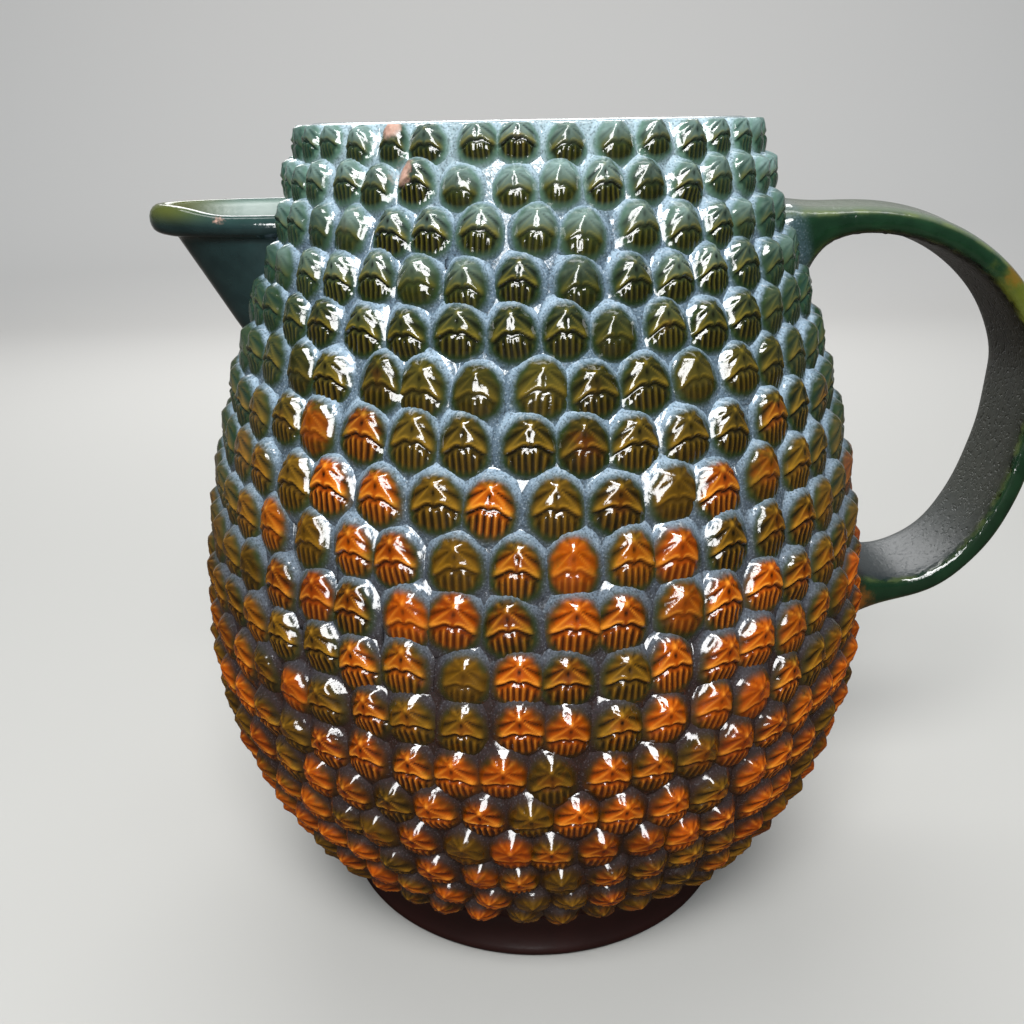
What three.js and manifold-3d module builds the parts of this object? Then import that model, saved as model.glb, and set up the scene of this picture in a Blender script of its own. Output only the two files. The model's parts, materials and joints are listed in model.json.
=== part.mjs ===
// Pineapple pitcher of glazed earthenware, with rows of pressed clay scales laid on its wall.
// Millimetres, +Z up. The origin is on the pot's axis, where the foot meets the table.
// The spout points along -X, the handle stands along +X, and -Y is the front.

import * as THREE from "three";
import { ConvexGeometry } from "three/addons/geometries/ConvexGeometry.js";
import { mergeVertices } from "three/addons/utils/BufferGeometryUtils.js";
import Module from "manifold-3d";

const wasm = await Module();
wasm.setup();

// The pot's wall, as its bare outer face runs under the scales.
const HEIGHT = 270;
const RIM_RADIUS = 68.5;
const BELLY_RADIUS = 111.7;
const BELLY_HEIGHT = 108;
const WALL_THICKNESS = 6;
const RIM_ROUNDING = 2;
// How far the outline holds the belly's width below and above it.
const BELLY_HOLD_BELOW = 33;
const BELLY_HOLD_ABOVE = 55;
// How the outline leaves the foot and reaches the rim: its lean from upright, and how far it keeps it.
const FOOT_LEAN = THREE.MathUtils.degToRad(49);
const FOOT_LEAN_RUN = 30.5;
const RIM_LEAN = THREE.MathUtils.degToRad(20.6);
const RIM_LEAN_RUN = 55.5;

// The foot: a ring of clay round the slab that closes the pot.
const FOOT_RADIUS = 73.5;
const FOOT_TOP_RADIUS = 75;
const FOOT_HEIGHT = 20;
const FOOT_WAIST_DEPTH = 2;
const FOOT_EDGE_ROUNDING = 3;
const FOOT_WALL = 7.5;
const SLAB_THICKNESS = 9;

// Pieces that touch are laid this far apart.
const SEAT_GAP = 0.3;
// What a straight facet may cut off a scale's curved seat.
const FACET_ALLOWANCE = 0.3;
// How far a piece that stands on the wall is drawn on into it, before the wall trims it.
const TRIM_DEPTH = 12;

// The scales: rows, their spacing along the wall, their widths there and their relief.
const COURSES = 18;
const WIDEST_COURSE = 7;
const TOP_SPACING = 10.6;
const BELLY_SPACING = 15.4;
const FOOT_SPACING = 13.8;
const TOP_WIDTH = 12;
const FOOT_WIDTH = 12.1;
const BARE_BAND = 13;
const RIM_MARGIN = 0.8;
const COURSE_GAP = 0.7;
const SCALE_RELIEF = 4.6;
const CHEVRON_RELIEF = 3;
const SCALE_EDGE = 1.8;
// Places on a scale, as shares of its half width and half height.
const SUMMIT_AT = 0.32;
const CHEVRON_OUT = 0.55;
const CHEVRON_DOWN = 0.35;
const WIDEST_AT = -0.05;
const JOINT_HALF_HEIGHT = 0.55;

// The spout, an open beak set below the rim.
const SPOUT_BELOW_RIM = 23.5;
const SPOUT_TOP = HEIGHT - SPOUT_BELOW_RIM;
const SPOUT_REACH = 123.5;
const SPOUT_WIDTH = 42;
const SPOUT_WALL = 5;
const SPOUT_STRAIGHT = 82;
const LIP_HEIGHT = 8;
const LIP_OVERHANG = 1.6;
const LIP_ROUNDING = 2.2;
const KEEL_DROP = 34;
const KEEL_RUN = 25;
const KEEL_WIDTH = 9;
// How full the funnel stays on its way down to the keel, from 0, straight sides, to 1, round ones.
const FUNNEL_FULLNESS = 0.9;
// How blunt the beak's tip is in plan, as a share of its half width.
const BEAK_BLUNTNESS = 0.5;
const POUR_HOLE_DROP = 4;

// The handle, a crowned strap bent through two curves in the plane of the spout. Its upper root
// hangs below the rim, and its lower root stands just above the belly's widest line.
const STRAP_WIDTH = 37;
const STRAP_EDGE = 8;
const STRAP_CROWN = 2;
const STRAP_CORNER = 3;
const HANDLE_STANDOFF = 57.3;
const HANDLE_REACH = BELLY_RADIUS + HANDLE_STANDOFF;
const HANDLE_BELOW_RIM = 39.2;
const HANDLE_TOP = HEIGHT - HANDLE_BELOW_RIM;
const HANDLE_ABOVE_BELLY = 10;
const HANDLE_FOOT = BELLY_HEIGHT + HANDLE_ABOVE_BELLY;
const HANDLE_SHOULDER = 28;
const HANDLE_ELBOW = 39;
// Where the handle stands furthest out, as a share of the way up from its lower root.
const HANDLE_WIDEST_AT = 0.591;
const HANDLE_MIDDLE = THREE.MathUtils.lerp(HANDLE_FOOT, HANDLE_TOP, HANDLE_WIDEST_AT);
const UPPER_RISE = 25;
const LOWER_DIP = 25;
// How far in from its full reach each curve has its second handle, as a share of the way to the root.
const UPPER_TURN = 0.404;
const LOWER_TURN = 0.221;

// The wads of clay that hold the strap's ends on the wall.
const UPPER_PAD_BELOW_RIM = 33.5;
const LOWER_PAD_ABOVE_BELLY = 4.5;
const PAD_SIDE = 3.5;
const PAD_NOSE_SIDE = 1.2;
const PAD_REACH = 17;
// The waist's height as a share of the way from the wad's nose to its root.
const PAD_WAIST = 0.3;
const UPPER_PAD_HALF_HEIGHT = 14;
const LOWER_PAD_HALF_HEIGHT = 13;

// How finely the curves are cut into facets.
const ROUND_STEPS = 48;
const FACET_HEIGHT = 20;
const INNER_FACET_HEIGHT = 24;
const STRAP_STEPS = 26;
const BEAK_STEPS = 6;
const OVAL_STEPS = 12;
const EDGE_STEPS = 3;
const WAIST_STEPS = 4;
const ROUNDING_STEPS = 2;
const HALVINGS = 40;
// Vertices nearer than this are one vertex.
const MERGE_WITHIN = 1e-4;

const GREEN = new THREE.MeshStandardMaterial({ color: 0x3f5a2c, roughness: 0.2, metalness: 0 });
const DARK_GREEN = new THREE.MeshStandardMaterial({ color: 0x1f3d1c, roughness: 0.2, metalness: 0 });
const AMBER = new THREE.MeshStandardMaterial({ color: 0xb4590f, roughness: 0.2, metalness: 0 });
const MILKY = new THREE.MeshStandardMaterial({ color: 0x6f8288, roughness: 0.25, metalness: 0 });
const MAROON = new THREE.MeshStandardMaterial({ color: 0x2e1715, roughness: 0.2, metalness: 0 });
const CLAY = new THREE.MeshStandardMaterial({ color: 0xa4674a, roughness: 0.9, metalness: 0 });

const pitcher = new THREE.Group();

function addPiece(name, geometry, material) {
  const mesh = new THREE.Mesh(geometry, material.clone());
  mesh.name = name;
  pitcher.add(mesh);
}

function toSolid(geometry) {
  const bare = new THREE.BufferGeometry();
  bare.setAttribute("position", geometry.getAttribute("position"));
  if (geometry.index) bare.setIndex(geometry.index);
  const merged = mergeVertices(bare, MERGE_WITHIN);
  return new wasm.Manifold(
    new wasm.Mesh({
      numProp: 3,
      vertProperties: merged.attributes.position.array,
      triVerts: new Uint32Array(merged.index.array),
    }),
  );
}

function toGeometry(solid) {
  const mesh = solid.getMesh();
  const geometry = new THREE.BufferGeometry();
  geometry.setAttribute("position", new THREE.BufferAttribute(mesh.vertProperties, mesh.numProp));
  geometry.setIndex(new THREE.BufferAttribute(mesh.triVerts, 1));
  return geometry;
}

// A body turned about Z from a closed outline of (radius, height) points.
function turned(points) {
  return new THREE.LatheGeometry(points, ROUND_STEPS).rotateX(Math.PI / 2);
}

// The wall's outline from the foot's top up to the rim.
function wallOutline() {
  const foot = new THREE.Vector2(FOOT_TOP_RADIUS, FOOT_HEIGHT + SEAT_GAP);
  const belly = new THREE.Vector2(BELLY_RADIUS, BELLY_HEIGHT);
  const rim = new THREE.Vector2(RIM_RADIUS, HEIGHT);
  const offFoot = new THREE.Vector2(Math.sin(FOOT_LEAN), Math.cos(FOOT_LEAN)).multiplyScalar(FOOT_LEAN_RUN);
  const offRim = new THREE.Vector2(Math.sin(RIM_LEAN), -Math.cos(RIM_LEAN)).multiplyScalar(RIM_LEAN_RUN);
  const outline = new THREE.CurvePath();
  outline.add(
    new THREE.CubicBezierCurve(
      foot,
      foot.clone().add(offFoot),
      new THREE.Vector2(BELLY_RADIUS, BELLY_HEIGHT - BELLY_HOLD_BELOW),
      belly,
    ),
  );
  outline.add(
    new THREE.CubicBezierCurve(
      belly,
      new THREE.Vector2(BELLY_RADIUS, BELLY_HEIGHT + BELLY_HOLD_ABOVE),
      rim.clone().add(offRim),
      rim,
    ),
  );
  return outline;
}

const outline = wallOutline();
const outlineLength = outline.getLength();
const outerSteps = Math.round(outlineLength / FACET_HEIGHT);
const innerSteps = Math.round(outlineLength / INNER_FACET_HEIGHT);

// The wall's outer face at a distance down from the rim, moved out along its normal.
function onOutline(down, lift) {
  const share = THREE.MathUtils.clamp(1 - down / outlineLength, 0, 1);
  const point = outline.getPoint(share);
  const along = outline.getTangent(share);
  return new THREE.Vector2(point.x + lift * along.y, point.y - lift * along.x);
}

function onWall(angle, down, lift) {
  const { x: radius, y: height } = onOutline(down, lift);
  return new THREE.Vector3(radius * Math.cos(angle), radius * Math.sin(angle), height);
}

// The outer radius of the bare wall at a height.
function wallRadius(height) {
  let low = 0;
  let high = outlineLength;
  for (let i = 0; i < HALVINGS; i++) {
    const middle = (low + high) / 2;
    if (onOutline(middle, 0).y > height) low = middle;
    else high = middle;
  }
  return onOutline(low, 0).x;
}

// Everything inside the wall's outer face and its seat gap, as a solid that trims what sits on the wall.
function wallCore() {
  const points = [new THREE.Vector2(0, FOOT_HEIGHT)];
  for (let i = 0; i <= outerSteps; i++) {
    const point = outline.getPoint(i / outerSteps);
    points.push(new THREE.Vector2(point.x + SEAT_GAP, point.y));
  }
  points.push(new THREE.Vector2(0, HEIGHT));
  return toSolid(turned(points));
}

function bodyWall() {
  const points = [];
  for (let i = 0; i < outerSteps; i++) points.push(outline.getPoint(i / outerSteps));
  const innerRim = RIM_RADIUS - WALL_THICKNESS;
  points.push(onOutline(RIM_ROUNDING, 0));
  points.push(new THREE.Vector2(RIM_RADIUS - RIM_ROUNDING, HEIGHT));
  points.push(new THREE.Vector2(innerRim + RIM_ROUNDING, HEIGHT));
  points.push(new THREE.Vector2(innerRim, HEIGHT - RIM_ROUNDING));
  for (let i = innerSteps - 1; i > 0; i--) {
    const down = outlineLength * (1 - i / innerSteps);
    points.push(onOutline(down, -WALL_THICKNESS));
  }
  points.push(new THREE.Vector2(FOOT_TOP_RADIUS - WALL_THICKNESS, FOOT_HEIGHT + SEAT_GAP));
  points.push(points[0].clone());
  return toSolid(turned(points));
}

function footRing() {
  const bore = FOOT_RADIUS - FOOT_WALL;
  const edge = new THREE.EllipseCurve(
    FOOT_RADIUS - FOOT_EDGE_ROUNDING,
    FOOT_EDGE_ROUNDING,
    FOOT_EDGE_ROUNDING,
    FOOT_EDGE_ROUNDING,
    -Math.PI / 2,
    0,
  );
  const side = new THREE.QuadraticBezierCurve(
    new THREE.Vector2(FOOT_RADIUS, FOOT_EDGE_ROUNDING),
    new THREE.Vector2(FOOT_RADIUS - 2 * FOOT_WAIST_DEPTH, (FOOT_EDGE_ROUNDING + FOOT_HEIGHT) / 2),
    new THREE.Vector2(FOOT_TOP_RADIUS, FOOT_HEIGHT),
  );
  const points = [new THREE.Vector2(bore, 0)];
  points.push(...edge.getPoints(EDGE_STEPS));
  points.push(...side.getPoints(WAIST_STEPS).slice(1));
  points.push(new THREE.Vector2(bore, FOOT_HEIGHT));
  points.push(points[0].clone());
  return turned(points);
}

function baseSlab() {
  const radius = FOOT_RADIUS - FOOT_WALL - SEAT_GAP;
  return turned([
    new THREE.Vector2(0, 0),
    new THREE.Vector2(radius, 0),
    new THREE.Vector2(radius, SLAB_THICKNESS),
    new THREE.Vector2(0, SLAB_THICKNESS),
  ]);
}

// Half of a beak's plan, from the wall out to its tip at x = -reach.
function beakCurve(reach, halfWidth) {
  const straight = Math.min(SPOUT_STRAIGHT, reach - BEAK_BLUNTNESS * halfWidth);
  return new THREE.CubicBezierCurve(
    new THREE.Vector2(-straight, halfWidth),
    new THREE.Vector2(-(straight + reach) / 2, halfWidth),
    new THREE.Vector2(-reach, BEAK_BLUNTNESS * halfWidth),
    new THREE.Vector2(-reach, 0),
  );
}

function beakPlan(reach, halfWidth) {
  const half = beakCurve(reach, halfWidth).getPoints(BEAK_STEPS);
  const root = -(RIM_RADIUS - WALL_THICKNESS - TRIM_DEPTH);
  const other = half
    .slice(0, -1)
    .reverse()
    .map((p) => new THREE.Vector2(p.x, -p.y));
  return [new THREE.Vector2(root, halfWidth), ...half, ...other, new THREE.Vector2(root, -halfWidth)];
}

// The spout's funnel or the channel in it: beak plans that shrink down to the keel, joined as a hull.
function beakHull(inset, top) {
  const lipBottom = SPOUT_TOP - LIP_HEIGHT;
  const funnelReach = SPOUT_REACH - LIP_OVERHANG;
  const levels = [
    { height: top, down: 0 },
    { height: lipBottom, down: 0 },
    { height: lipBottom - KEEL_DROP / 2, down: 0.5 },
    { height: lipBottom - KEEL_DROP + inset, down: 1 - inset / KEEL_DROP },
  ];
  const points = [];
  for (const { height, down } of levels) {
    const reach = funnelReach - down * KEEL_RUN - inset;
    const spread = Math.sqrt(1 - down * down * FUNNEL_FULLNESS);
    const halfWidth = THREE.MathUtils.lerp(KEEL_WIDTH, SPOUT_WIDTH - 2 * LIP_OVERHANG, spread) / 2 - inset;
    for (const p of beakPlan(reach, Math.max(halfWidth, SEAT_GAP))) {
      points.push(new THREE.Vector3(p.x, p.y, height));
    }
  }
  return toSolid(new ConvexGeometry(points));
}

function spoutLip() {
  const shape = new THREE.Shape(beakPlan(SPOUT_REACH - LIP_ROUNDING, SPOUT_WIDTH / 2 - LIP_ROUNDING));
  const band = new THREE.ExtrudeGeometry(shape, {
    depth: LIP_HEIGHT - 2 * LIP_ROUNDING,
    bevelThickness: LIP_ROUNDING,
    bevelSize: LIP_ROUNDING,
    bevelSegments: ROUNDING_STEPS,
  });
  return toSolid(band.translate(0, 0, SPOUT_TOP - LIP_HEIGHT + LIP_ROUNDING));
}

function spout(core) {
  const lipBottom = SPOUT_TOP - LIP_HEIGHT;
  const clearOfTop = SPOUT_TOP + LIP_HEIGHT;
  return spoutLip().add(beakHull(0, lipBottom)).subtract(beakHull(SPOUT_WALL, clearOfTop)).subtract(core);
}

function pourHole() {
  return beakHull(SPOUT_WALL, SPOUT_TOP - POUR_HOLE_DROP);
}

function handlePath() {
  const start = new THREE.Vector3(wallRadius(HANDLE_TOP) - TRIM_DEPTH, 0, HANDLE_TOP);
  const middle = new THREE.Vector3(HANDLE_REACH, 0, HANDLE_MIDDLE);
  const end = new THREE.Vector3(wallRadius(HANDLE_FOOT) - TRIM_DEPTH, 0, HANDLE_FOOT);
  const path = new THREE.CurvePath();
  path.add(
    new THREE.CubicBezierCurve3(
      start,
      new THREE.Vector3(THREE.MathUtils.lerp(HANDLE_REACH, start.x, UPPER_TURN), 0, HANDLE_TOP + UPPER_RISE),
      new THREE.Vector3(HANDLE_REACH, 0, HANDLE_MIDDLE + HANDLE_SHOULDER),
      middle,
    ),
  );
  path.add(
    new THREE.CubicBezierCurve3(
      middle,
      new THREE.Vector3(HANDLE_REACH, 0, HANDLE_MIDDLE - HANDLE_ELBOW),
      new THREE.Vector3(THREE.MathUtils.lerp(HANDLE_REACH, end.x, LOWER_TURN), 0, HANDLE_FOOT - LOWER_DIP),
      end,
    ),
  );
  return path;
}

// The strap's section: x runs across the strap, and y towards the inside of the handle's loop.
function strapSection(grow) {
  const half = STRAP_WIDTH / 2 + grow;
  const inner = STRAP_EDGE / 2 + grow;
  const shape = new THREE.Shape();
  shape.moveTo(-half + STRAP_CORNER, inner);
  shape.quadraticCurveTo(-half, inner, -half, 0);
  shape.quadraticCurveTo(-half, -inner, -half + STRAP_CORNER, -inner);
  shape.quadraticCurveTo(0, -inner - 2 * STRAP_CROWN, half - STRAP_CORNER, -inner);
  shape.quadraticCurveTo(half, -inner, half, 0);
  shape.quadraticCurveTo(half, inner, half - STRAP_CORNER, inner);
  return shape;
}

function strap(grow) {
  const bar = new THREE.ExtrudeGeometry(strapSection(grow), {
    steps: STRAP_STEPS,
    curveSegments: ROUNDING_STEPS,
    bevelEnabled: false,
    extrudePath: handlePath(),
  });
  return toSolid(bar);
}

// One oval slice of a wad, standing across X.
function padOval(x, height, halfWidth, halfHeight) {
  const oval = new THREE.EllipseCurve(0, height, halfWidth, halfHeight);
  return oval.getPoints(OVAL_STEPS).map((p) => new THREE.Vector3(x, p.x, p.y));
}

function handlePad(height, halfHeight, core) {
  const root = wallRadius(height);
  const halfWidth = STRAP_WIDTH / 2 + PAD_SIDE;
  const noseHalfWidth = STRAP_WIDTH / 2 + PAD_NOSE_SIDE + SEAT_GAP;
  const noseHalfHeight = STRAP_EDGE / 2 + STRAP_CROWN + PAD_NOSE_SIDE + SEAT_GAP;
  const waistReach = PAD_REACH / 2;
  const waistHalfWidth = (halfWidth + noseHalfWidth) / 2;
  const waistHalfHeight = THREE.MathUtils.lerp(noseHalfHeight, halfHeight, PAD_WAIST);
  const onward = 1 + TRIM_DEPTH / waistReach;
  const backHalfWidth = THREE.MathUtils.lerp(waistHalfWidth, halfWidth, onward);
  const backHalfHeight = THREE.MathUtils.lerp(waistHalfHeight, halfHeight, onward);
  const back = padOval(root - TRIM_DEPTH, height, backHalfWidth, backHalfHeight);
  const waist = padOval(root + waistReach, height, waistHalfWidth, waistHalfHeight);
  const front = padOval(root + PAD_REACH, height, noseHalfWidth, noseHalfHeight);
  const flare = toSolid(new ConvexGeometry([...back, ...waist]));
  const collar = toSolid(new ConvexGeometry([...waist, ...front]));
  return flare.add(collar).subtract(strap(SEAT_GAP)).subtract(core);
}

// A size of a row's scales, which changes evenly from the rim to the belly and from there to the foot.
function sizeAt(course, top, foot) {
  if (course < WIDEST_COURSE) {
    return THREE.MathUtils.lerp(top, BELLY_SPACING, course / WIDEST_COURSE);
  }
  const share = (course - WIDEST_COURSE) / (COURSES - 1 - WIDEST_COURSE);
  return THREE.MathUtils.lerp(BELLY_SPACING, foot, share);
}

// Distances along the wall from one row's middle to the next, before they are fitted to its length.
function spacingAt(course) {
  return sizeAt(course, TOP_SPACING, FOOT_SPACING);
}

// Each row's middle, its height along the wall and its number of scales.
function layOutCourses() {
  let total = 0;
  for (let i = 0; i < COURSES; i++) total += spacingAt(i);
  const fit = (outlineLength - RIM_MARGIN - BARE_BAND) / total;
  const courses = [];
  let down = RIM_MARGIN;
  for (let i = 0; i < COURSES; i++) {
    const height = spacingAt(i) * fit;
    const middle = down + height / 2;
    const round = 2 * Math.PI * onOutline(middle, 0).x;
    courses.push({
      middle,
      halfHeight: (height - COURSE_GAP) / 2,
      count: Math.round(round / sizeAt(i, TOP_WIDTH, FOOT_WIDTH)),
    });
    down += height;
  }
  return courses;
}

// A run of scales that meet side by side. Each scale rises from its outline to a summit in its
// upper half, and two ridges run down from the summit like a chevron to its sides.
function scaleRun(course, phase, run) {
  const step = (2 * Math.PI) / course.count;
  const seat = SEAT_GAP + FACET_ALLOWANCE;
  const positions = [];
  const faces = [];
  const add = (across, up, lift) => {
    const point = onWall(across * step, course.middle - up * course.halfHeight, lift);
    positions.push(point.x, point.y, point.z);
    return positions.length / 3 - 1;
  };
  const joints = [];
  const jointCount = run.closed ? run.length : run.length + 1;
  for (let i = 0; i < jointCount; i++) {
    const across = run.first + phase + i;
    joints.push({
      top: add(across, WIDEST_AT + JOINT_HALF_HEIGHT, seat),
      bottom: add(across, WIDEST_AT - JOINT_HALF_HEIGHT, seat),
      outer: add(across, WIDEST_AT, seat + SCALE_EDGE),
    });
  }
  for (let i = 0; i < run.length; i++) {
    const left = joints[i];
    const right = joints[(i + 1) % joints.length];
    const middle = run.first + phase + i + 0.5;
    const top = add(middle, 1, seat);
    const bottom = add(middle, -1, seat);
    const summit = add(middle, SUMMIT_AT, seat + SCALE_RELIEF);
    const ridgeLeft = add(middle - CHEVRON_OUT / 2, -CHEVRON_DOWN, seat + CHEVRON_RELIEF);
    const ridgeRight = add(middle + CHEVRON_OUT / 2, -CHEVRON_DOWN, seat + CHEVRON_RELIEF);
    faces.push(left.outer, summit, top);
    faces.push(summit, right.outer, top);
    faces.push(left.outer, ridgeLeft, summit);
    faces.push(summit, ridgeRight, right.outer);
    faces.push(summit, ridgeLeft, ridgeRight);
    faces.push(ridgeLeft, bottom, ridgeRight);
    faces.push(left.outer, bottom, ridgeLeft);
    faces.push(ridgeRight, bottom, right.outer);
    faces.push(left.outer, top, left.top);
    faces.push(right.outer, right.top, top);
    faces.push(left.outer, left.bottom, bottom);
    faces.push(right.outer, bottom, right.bottom);
    faces.push(left.top, bottom, left.bottom);
    faces.push(left.top, top, bottom);
    faces.push(top, right.top, right.bottom);
    faces.push(top, right.bottom, bottom);
  }
  if (!run.closed) {
    const first = joints[0];
    const last = joints[joints.length - 1];
    faces.push(first.outer, first.top, first.bottom);
    faces.push(last.outer, last.bottom, last.top);
  }
  const geometry = new THREE.BufferGeometry();
  geometry.setAttribute("position", new THREE.Float32BufferAttribute(positions, 3));
  geometry.setIndex(faces);
  return geometry;
}

// True where a scale with its seat gap round it would run into what is fixed on the wall.
function isCovered(number, course, phase, fixed) {
  const scale = scaleRun(course, phase, { first: number, length: 1, closed: false });
  scale.computeBoundingSphere();
  const center = scale.boundingSphere.center.clone();
  const grow = 1 + (2 * SEAT_GAP) / scale.boundingSphere.radius;
  scale.translate(-center.x, -center.y, -center.z);
  scale.scale(grow, grow, grow);
  scale.translate(center.x, center.y, center.z);
  return !toSolid(scale).intersect(fixed).isEmpty();
}

// Runs of neighbouring scales that nothing interrupts.
function runsOf(course, phase, fixed) {
  const free = [];
  for (let i = 0; i < course.count; i++) free.push(!isCovered(i, course, phase, fixed));
  if (free.every(Boolean)) return [{ first: 0, length: course.count, closed: true }];
  const runs = [];
  for (let i = 0; i < course.count; i++) {
    const before = (i + course.count - 1) % course.count;
    if (!free[i] || free[before]) continue;
    let length = 1;
    while (free[(i + length) % course.count]) length++;
    runs.push({ first: i, length, closed: false });
  }
  return runs;
}

const core = wallCore();
const strapSolid = strap(0).subtract(core);
const upperPad = handlePad(HEIGHT - UPPER_PAD_BELOW_RIM, UPPER_PAD_HALF_HEIGHT, core);
const lowerPad = handlePad(BELLY_HEIGHT + LOWER_PAD_ABOVE_BELLY, LOWER_PAD_HALF_HEIGHT, core);

addPiece("body_wall", toGeometry(bodyWall().subtract(pourHole())), MILKY);
addPiece("foot_ring", footRing(), MAROON);
addPiece("base_slab", baseSlab(), CLAY);
addPiece("spout", toGeometry(spout(core)), DARK_GREEN);
addPiece("handle_strap", toGeometry(strapSolid), DARK_GREEN);
addPiece("handle_upper_pad", toGeometry(upperPad), DARK_GREEN);
addPiece("handle_lower_pad", toGeometry(lowerPad), DARK_GREEN);

const fixed = beakHull(0, SPOUT_TOP).add(spoutLip()).add(strapSolid).add(upperPad).add(lowerPad);
layOutCourses().forEach((course, index) => {
  const phase = index % 2 ? 0.5 : 0;
  const name = "scale_course_" + String(index + 1).padStart(2, "0");
  const runs = runsOf(course, phase, fixed);
  for (const run of runs) {
    const middle = ((run.first + phase + run.length / 2) * 2 * Math.PI) / course.count;
    const side = Math.sin(middle) < 0 ? "_front" : "_back";
    const material = index < WIDEST_COURSE ? GREEN : AMBER;
    addPiece(name + (runs.length > 1 ? side : ""), scaleRun(course, phase, run), material);
  }
});

export default pitcher;
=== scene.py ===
# %% [markdown]
# # A pineapple pitcher in glazed earthenware
# The pot is a bulging jar of red clay. Rows of clay scales, each pressed in a small mould, are
# stuck on its wall. A beak spout is let in below the rim, and a strap handle stands opposite.
# Green, amber and milky glazes ran over it all in the kiln. Each cell below makes one piece or
# one finish, in the order in which a potter would.

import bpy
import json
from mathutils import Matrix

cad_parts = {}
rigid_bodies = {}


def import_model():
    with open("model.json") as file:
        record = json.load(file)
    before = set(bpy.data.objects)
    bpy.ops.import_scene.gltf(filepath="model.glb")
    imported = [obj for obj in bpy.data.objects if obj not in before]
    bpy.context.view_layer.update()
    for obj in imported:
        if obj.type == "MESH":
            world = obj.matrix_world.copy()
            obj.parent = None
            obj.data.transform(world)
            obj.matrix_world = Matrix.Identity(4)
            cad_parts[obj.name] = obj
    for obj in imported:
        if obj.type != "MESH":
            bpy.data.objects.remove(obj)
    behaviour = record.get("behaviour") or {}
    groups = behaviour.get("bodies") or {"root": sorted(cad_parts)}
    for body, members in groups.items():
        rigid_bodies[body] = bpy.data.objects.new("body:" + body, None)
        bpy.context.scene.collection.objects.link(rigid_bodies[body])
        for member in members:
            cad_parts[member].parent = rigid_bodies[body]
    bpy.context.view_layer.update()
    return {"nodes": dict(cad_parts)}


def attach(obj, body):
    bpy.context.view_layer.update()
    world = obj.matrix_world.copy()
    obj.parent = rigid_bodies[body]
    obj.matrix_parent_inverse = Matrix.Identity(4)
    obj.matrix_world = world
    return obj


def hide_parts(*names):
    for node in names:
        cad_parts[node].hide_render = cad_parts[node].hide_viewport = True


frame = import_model()

# %% Tools and units
import json
import math

import bpy
import numpy as np
from mathutils import Vector

MM = 0.001  # the sizes below are in millimetres, and the meshes are in metres


# %% [markdown]
# ## The camera
# The photograph was taken from just in front of the pot and level with its rim, looking down.
# A phone's wide lens that close gives strong perspective: the foot looks small and the rim is
# a line. The lens has to match, because no other distance gives the same curves of the rows.

# %% Set the camera
CAMERA_AT = (-7.2, -347.5, 270.2)
CAMERA_PITCH = math.radians(21.01)
CAMERA_ROLL = math.radians(-1.0)
LENS = 36.0
SENSOR = 36.0

camera_data = bpy.data.cameras.new("photo_camera")
camera_data.lens = LENS
camera_data.sensor_width = SENSOR
camera = bpy.data.objects.new("photo_camera", camera_data)
camera.location = [c * MM for c in CAMERA_AT]
camera.rotation_euler = (math.pi / 2 - CAMERA_PITCH, 0, 0)
bpy.context.scene.collection.objects.link(camera)
bpy.context.view_layer.update()
camera.rotation_euler.rotate_axis("Z", CAMERA_ROLL)
bpy.context.scene.camera = camera
print("camera at", [round(c, 4) for c in camera.location], "lens", LENS)


# %% [markdown]
# ## Helpers
# Two functions give soft hills and soft steps, for shapes. A few more turn lists of points and
# faces, in millimetres, into a Blender object at the origin. The last ones add nodes to a tree,
# so that the trees below stay short enough to read.

# %% Helpers for shapes
def bell(distance, width):
    """1 at no distance, and smoothly less further away."""
    return np.exp(-((distance / width) ** 2))


def ramp(value, low, high):
    """0 where a value is at low, 1 at high, smooth between."""
    t = np.clip((value - low) / (high - low), 0, 1)
    return t * t * (3 - 2 * t)


# %% Helpers for meshes
def new_piece(name, points, faces):
    """A smooth mesh object at the origin, from points in millimetres."""
    mesh = bpy.data.meshes.new(name)
    mesh.from_pydata((np.asarray(points, float) * MM).tolist(), [], faces)
    mesh.validate()
    mesh.shade_smooth()
    piece = bpy.data.objects.new(name, mesh)
    bpy.context.scene.collection.objects.link(piece)
    return piece


def sharpen(piece, degrees=50):
    """Keep the edges that turn more than this sharp, and the rest smooth."""
    piece.data.set_sharp_from_angle(angle=math.radians(degrees))


def grid_faces(rows, columns, ring=False, flip=False):
    """Quads over a grid of points kept row by row; ring closes each row on itself."""
    faces = []
    for i in range(rows - 1):
        for j in range(columns if ring else columns - 1):
            k = (j + 1) % columns
            quad = (i * columns + j, i * columns + k, (i + 1) * columns + k, (i + 1) * columns + j)
            faces.append(quad[::-1] if flip else quad)
    return faces


def store(piece, name, values):
    """A number for each vertex, which a material can read by its name."""
    attribute = piece.data.attributes.new(name, "FLOAT", "POINT")
    attribute.data.foreach_set("value", np.asarray(values, np.float32))


# %% Helpers for nodes
def add_node(tree, kind, links=(), **settings):
    """A node, its settings, and its inputs in order, or by name or number: values or sockets."""
    node = tree.nodes.new(kind)
    for key, value in settings.items():
        setattr(node, key, value)
    for key, value in links.items() if isinstance(links, dict) else enumerate(links):
        if isinstance(value, bpy.types.NodeSocket):
            tree.links.new(value, node.inputs[key])
        else:
            node.inputs[key].default_value = value
    return node


def product(tree, *factors):
    """Values and sockets multiplied; for shares, it is high only where each of them is."""
    result = factors[0]
    for factor in factors[1:]:
        result = add_node(tree, "ShaderNodeMath", (result, factor), operation="MULTIPLY").outputs[0]
    return result


def weighed(tree, start, *terms):
    """A start value plus other values, each times its weight."""
    for value, weight in terms:
        links = (value, weight, start)
        start = add_node(tree, "ShaderNodeMath", links, operation="MULTIPLY_ADD").outputs[0]
    return start


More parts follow.
